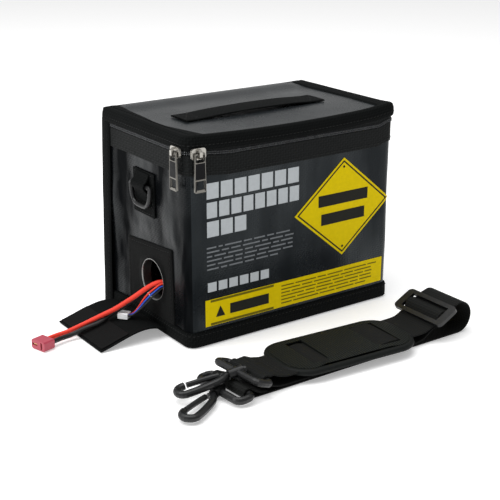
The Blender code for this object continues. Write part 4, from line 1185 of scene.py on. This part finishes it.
def make_prints():
    """Plain shapes where the cloth is printed: a diamond, a strip and bars, with no lettering."""
    blocks = []
    for z, height, width, count in ((123.6, 13.0, 11.2, 7), (107.8, 13.0, 9.6, 8), (92.0, 13.0, 11.2, 3),
                                    (45.5, 8.0, 8.4, 6)):
        blocks += [bar(-87.5 + index * (width + 2.0), z, width, height) for index in range(count)]
    print_layer("print_light_grey", blocks, 0.22, GREY_INK)
    small = ((9, 4, 16, 8, 11, 7, 14), (12, 7, 9, 17, 6, 13, 9), (5, 11, 14, 8, 16, 6, 12),
             (14, 9, 7, 12, 10, 15, 5), (8, 15, 6, 11, 9, 13, 10), (11, 6, 13, 9, 12, 8))
    print_layer("print_small_grey", word_bars(small, -88.0, 83.0, 3.6, 2.2, 1.2), 0.22, DIM_INK)
    sign = ((51.0, 93.5), 52.0, 43.5)
    print_layer("print_yellow", [diamond(*sign), bar(-90, 15.8, 187.5, 23.0)], 0.22, YELLOW)
    outer, inner = diamond(*sign, 0.945), diamond(*sign, 0.908)
    dark = [[outer[i - 1], outer[i], inner[i], inner[i - 1]] for i in range(4)]
    dark += [diamond((51.0, z), 1.4, 1.4) for z in (129.0, 58.0)]
    dark += [bar(24, 97.0, 54, 10), bar(27, 80.5, 48, 10), bar(-66, 22.5, 39, 9),
             [(-80, 22.5), (-71, 22.5), (-75.3, 31.5), (-75.7, 31.5)]]
    print_layer("print_dark", dark, 0.34, DARK_INK)
    strip = ((13, 22, 9, 17, 25, 10), (20, 11, 28, 14, 19), (9, 26, 15, 12, 21, 8),
             (24, 10, 18, 27, 13), (15, 19, 12, 22, 9, 14), (11, 27, 16, 20, 12))
    olive = [bar(-85, z, 63, 2) for z in (36.2, 16.2)] + word_bars(strip, -14.0, 34.8, 3.1, 1.8, 1.1)
    print_layer("print_olive", olive, 0.3, OLIVE_INK)


# ---- shoulder strap ----------------------------------------------------------------------------
def frame_axes(yaw, tilt=0.0):
    """Directions of a hook frame: out along the hook, across the frame and up."""
    out = Vector((-math.cos(yaw) * math.cos(tilt), -math.sin(yaw) * math.cos(tilt), -math.sin(tilt)))
    across = Vector((-math.sin(yaw), math.cos(yaw), 0))
    return out, across, across.cross(out)


def adjuster_point(u, w):
    c, s = math.cos(ADJUSTER_PITCH), math.sin(ADJUSTER_PITCH)
    return (ADJUSTER_CENTRE[0] + u * c - w * s, ADJUSTER_CENTRE[1], ADJUSTER_CENTRE[2] + u * s + w * c)


def wrap_points(centre, axes, start, end):
    """Centreline round a frame's bar, in degrees: 0 is towards the strap, 90 is up."""
    out, _, up = axes
    points = []
    for angle in spread(start, end, 12):
        angle = math.radians(angle)
        points.append(Vector(centre) + WRAP_RADIUS * (-out * math.cos(angle) + up * math.sin(angle)))
    return points


def strap_line():
    """The webbing's centreline and side direction, from the lower hook's frame to the adjuster's bar."""
    lower_axes = frame_axes(*LOWER_FRAME)
    upper_axes = frame_axes(*UPPER_FRAME)
    side = Vector((0, 1, 0))
    line = []

    def level(stops):
        line.extend((Vector((x, STRAP_Y, z)), side) for x, z in stops)

    level([(-100, 2.4), (-105, 2.6), (-109, 4.4)])
    line.extend((point, lower_axes[1]) for point in wrap_points(LOWER_BAR, lower_axes, 45, 262))
    level([(x, 0.7) for x in (-108, -98, -90, -60, -30, 0, 30, 60, 85)])
    for angle in spread(-90, 90, 16):
        angle = math.radians(angle)
        level([(FOLD_CENTRE[0] + FOLD_RADII[0] * math.cos(angle),
                FOLD_CENTRE[1] + FOLD_RADII[1] * math.sin(angle))])
    for u, w in ((14, -2.6), (9.5, -2.6), (7.0, -2.6), (2.3, 1.55), (1.2, 1.8), (-1.2, 1.8), (-2.3, 1.55),
                 (-7.0, -2.6), (-9.5, -2.6), (-14, -2.6)):
        line.append((Vector(adjuster_point(u, w)), side))
    level([(60.5, 10.0), (56, 9.5), (52, 9.4), (35, 9.4), (31.5, 9.9), (28, 11.0), (20, 11.3), (12, 11.0),
           (8.5, 9.9), (5, 9.4), (-30, 9.4), (-35, 9.5), (-38.5, 10.1), (-42, 11.1), (-45.5, 11.3),
           (-49, 11.1), (-52.5, 10.1), (-56, 9.5), (-80, 9.4), (-88, 11.2), (-94, 14.0)])
    line.extend((point, upper_axes[1]) for point in wrap_points(UPPER_BAR, upper_axes, 62, 275))
    level([(-95, 5.0), (-88, 3.0), (-80, 2.6), (-30, 2.6), (0, 2.6), (30, 2.6), (52, 2.6), (58.5, 4.5)])
    for u, w in ((-14, -4.8), (-9.5, -4.8), (-7, -4.6), (-4, -3.2), (-1.8, -2.4), (1.6, -2.4)):
        line.append((Vector(adjuster_point(u, w)), side))
    return line


def finer(line, spacing):
    """The same line with more stations, along straight steps between its own points."""
    result = [line[0]]
    for (a, side_a), (b, side_b) in zip(line, line[1:]):
        count = max(1, round((b - a).length / spacing))
        for step in range(1, count + 1):
            t = step / count
            result.append((a.lerp(b, t), side_a.lerp(side_b, t)))
    return result


def make_strap():
    line = finer(strap_line(), 3.0)
    bm = bmesh.new()
    ribbon(bm, line, 39.0, 1.25, 16)
    strap = add_mesh("shoulder_strap_webbing", bm, WEBBING, sharp=50)
    put(strap, "strap", ["strap_webbing"])
    length = distances([point for point, _ in line])[-1]
    ends = ((-81.0, 10.2), (-85.0, 11.2))
    rows = [seam((x, STRAP_Y - 17, z), (x, STRAP_Y + 17, z), 10) for x, z in ends]
    sew("shoulder_strap_stitching", "strap", [(row, (0, 0, 1)) for row in rows])


# ---- shoulder pad ------------------------------------------------------------------------------
PAD_MIDDLE = (PAD_X[0] + PAD_X[1]) / 2
PAD_HALF = (PAD_X[1] - PAD_X[0]) / 2
WINDOW_REACH = STRAP_WIDTH / 2 + 0.4
FIELD_RADIUS = PAD_CORNER - RIM_INSET       # the ribbed field inside the border: its corners' radius
FIELD_X = PAD_HALF - PAD_CORNER             # and their centres' distances from the pad's middle
FIELD_Y = PAD_HALF_WIDTH - PAD_CORNER


def pad_turned(x, y):
    """A place on the pad, which lies a little askew over the webbing."""
    across = y - PAD_Y
    along = x - PAD_MIDDLE
    return (PAD_MIDDLE + along * math.cos(PAD_YAW) - across * math.sin(PAD_YAW),
            PAD_Y + along * math.sin(PAD_YAW) + across * math.cos(PAD_YAW))


def pad_outline(inset):
    """The pad's plan outline moved inwards, always with the same number of points."""
    radius = max(PAD_CORNER - inset, 2.0)
    return rounded_outline((PAD_MIDDLE, PAD_Y), PAD_HALF - inset, PAD_HALF_WIDTH - inset, radius, radius, 12)


def pad_top(x, y):
    """Height of the pad's face: it crowns a little and dips towards its rim."""
    across = min(1.0, abs(y - PAD_Y) / PAD_HALF_WIDTH)
    along = min(1.0, abs(x - PAD_MIDDLE) / PAD_HALF)
    return PAD_Z[1] + 0.5 - 1.5 * across ** 4 - 1.2 * along ** 6 + 0.35 * ripple(x, y, 0, 30, 14)


def make_pad():
    """The pad's smooth border and underside, and its ribbed face."""
    low, high = PAD_Z
    profile = [(0.9, low), (0.2, low + 0.6), (0.0, low + 2.2), (0.1, high - 2.6), (0.7, high - 1.2),
               (1.8, high - 0.5), (3.2, high - 0.35), (4.0, high - 0.5), (4.3, high - 1.0)]
    rows = []
    for inset, z in profile:
        share = (z - low) / (high - low)
        rows.append([(*pad_turned(x, y), z + (pad_top(x, y) - high) * share) for x, y in pad_outline(inset)])
    bm = bmesh.new()
    grid(bm, rows, closed_columns=True)
    bm.faces.new([bm.verts.new((*pad_turned(x, y), low + 0.05)) for x, y in pad_outline(0.9)])
    bmesh.ops.recalc_face_normals(bm, faces=bm.faces)
    rim = put(add_mesh("shoulder_pad_rim", bm, FOAM_RIM, sharp=60), "pad")
    thicken(rim, 0.6)
    make_pad_face()


def make_pad_face():
    """The ribbed upper face, cut through by two windows that show the webbing."""
    reach = PAD_HALF_WIDTH - RIM_INSET
    edges = [edge for pair in PAD_WINDOWS for edge in pair]
    xs = axis_stops(PAD_X[0] + RIM_INSET, PAD_X[1] - RIM_INSET, edges)
    ys = axis_stops(PAD_Y - reach, PAD_Y + reach, [PAD_Y - WINDOW_REACH, PAD_Y + WINDOW_REACH])
    bm = bmesh.new()
    verts = {}

    def vert(i, j):
        if (i, j) not in verts:
            x, y = keep_inside(xs[i], ys[j])
            verts[i, j] = bm.verts.new((x, y, pad_top(x, y) - 0.15))
        return verts[i, j]

    for i in range(len(xs) - 1):
        for j in range(len(ys) - 1):
            x, y = (xs[i] + xs[i + 1]) / 2, (ys[j] + ys[j + 1]) / 2
            if rounded_gap(x, y) < 0.6 and not in_window(x, y):
                bm.faces.new([vert(i, j), vert(i + 1, j), vert(i + 1, j + 1), vert(i, j + 1)])
    lay_flat(bm)
    made = bmesh.ops.extrude_edge_only(bm, edges=[edge for edge in bm.edges if edge.is_boundary])
    for item in made["geom"]:
        if isinstance(item, bmesh.types.BMVert):
            item.co.z = PAD_TUNNEL_TOP if in_window(item.co.x, item.co.y, 0.1) else PAD_Z[1] - 2.2
    for item in bm.verts:
        item.co.x, item.co.y = pad_turned(item.co.x, item.co.y)
    bmesh.ops.recalc_face_normals(bm, faces=bm.faces)
    return put(add_mesh("shoulder_pad_face", bm, FOAM, sharp=50), "pad", ["shoulder_pad"])


def axis_stops(low, high, exact):
    """Grid lines from low to high that also fall on exact values."""
    marks = sorted([low, high] + exact)
    stops = [low]
    for a, b in zip(marks, marks[1:]):
        stops += spread(a, b, max(1, round((b - a) / 1.75)))[1:]
    return stops


def rounded_gap(x, y):
    """Distance outside the pad's inner field; negative within it."""
    dx = abs(x - PAD_MIDDLE) - FIELD_X
    dy = abs(y - PAD_Y) - FIELD_Y
    outside = math.hypot(max(dx, 0), max(dy, 0))
    return (outside or max(dx, dy)) - FIELD_RADIUS


def keep_inside(x, y):
    """Pull a grid corner that lies past the rounded field back onto its edge."""
    if rounded_gap(x, y) <= 0:
        return x, y
    corner = Vector((PAD_MIDDLE + math.copysign(FIELD_X, x - PAD_MIDDLE),
                     PAD_Y + math.copysign(FIELD_Y, y - PAD_Y)))
    return corner + (Vector((x, y)) - corner).normalized() * FIELD_RADIUS


def in_window(x, y, margin=0.0):
    across = abs(y - PAD_Y) < WINDOW_REACH + margin
    return across and any(low - margin < x < high + margin for low, high in PAD_WINDOWS)


# ---- CAD pieces that keep their own meshes -----------------------------------------------------
def bevel_edges(node, width, segments):
    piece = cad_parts[node]
    bevel = piece.modifiers.new("edge", "BEVEL")
    bevel.width = width * MM
    bevel.segments = segments
    bevel.limit_method = "ANGLE"
    bevel.angle_limit = math.radians(40)
    piece.data.shade_smooth()
    piece.data.set_sharp_from_angle(angle=math.radians(50))


def dress(node, material):
    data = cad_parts[node].data
    data.materials.clear()
    data.materials.append(material)


def dress_cad():
    """Materials and softened edges on the CAD meshes that stay in view."""
    for nodes, material in (
            ("upper_frame lower_frame upper_hook lower_hook upper_gate lower_gate strap_adjuster "
             "left_ring right_ring", PLASTIC),
            ("pack_case_lower pack_case_upper", CASE), ("cell_lower cell_upper", FOIL),
            ("cell_tab_board", BOARD),
            ("power_plug", PLUG_RED), ("balance_plug", PLUG_WHITE),
            ("plug_contact_flat plug_contact_upright", BRASS), ("port_eyelet port_washer", EYELET),
            ("slider_front slider_side", NICKEL), ("pull_front pull_side", PULL_NICKEL_PAINTED_DARKER),
            ("front_padding back_padding left_padding right_padding base_padding", FELT),
            ("base_panel", TARP_SIDE_PAINTED_DARKER)):
        for node in nodes.split():
            dress(node, material)
    for nodes, width, segments in (
            ("slider_front slider_side", 0.8, 4),
            ("power_plug strap_adjuster pack_case_lower pack_case_upper", 0.5, 3),
            ("balance_plug pull_front pull_side cell_lower cell_upper port_eyelet plug_contact_flat "
             "plug_contact_upright", 0.25, 2)):
        for node in nodes.split():
            bevel_edges(node, width, segments)


make_camera()
FLOOR = [make_floor()]
make_light()
make_cords()
make_wrap()
make_back()
make_bindings()
make_lid_folds()
make_rim()
make_linings()
make_zip()
make_pull_panels()
make_lid()
make_lid_padding()
make_handle()
make_ring_tab("left", -1)
make_ring_tab("right", 1)
make_patch()
make_port_stitching()
make_flap()
make_prints()
make_strap()
make_pad()
dress_cad()
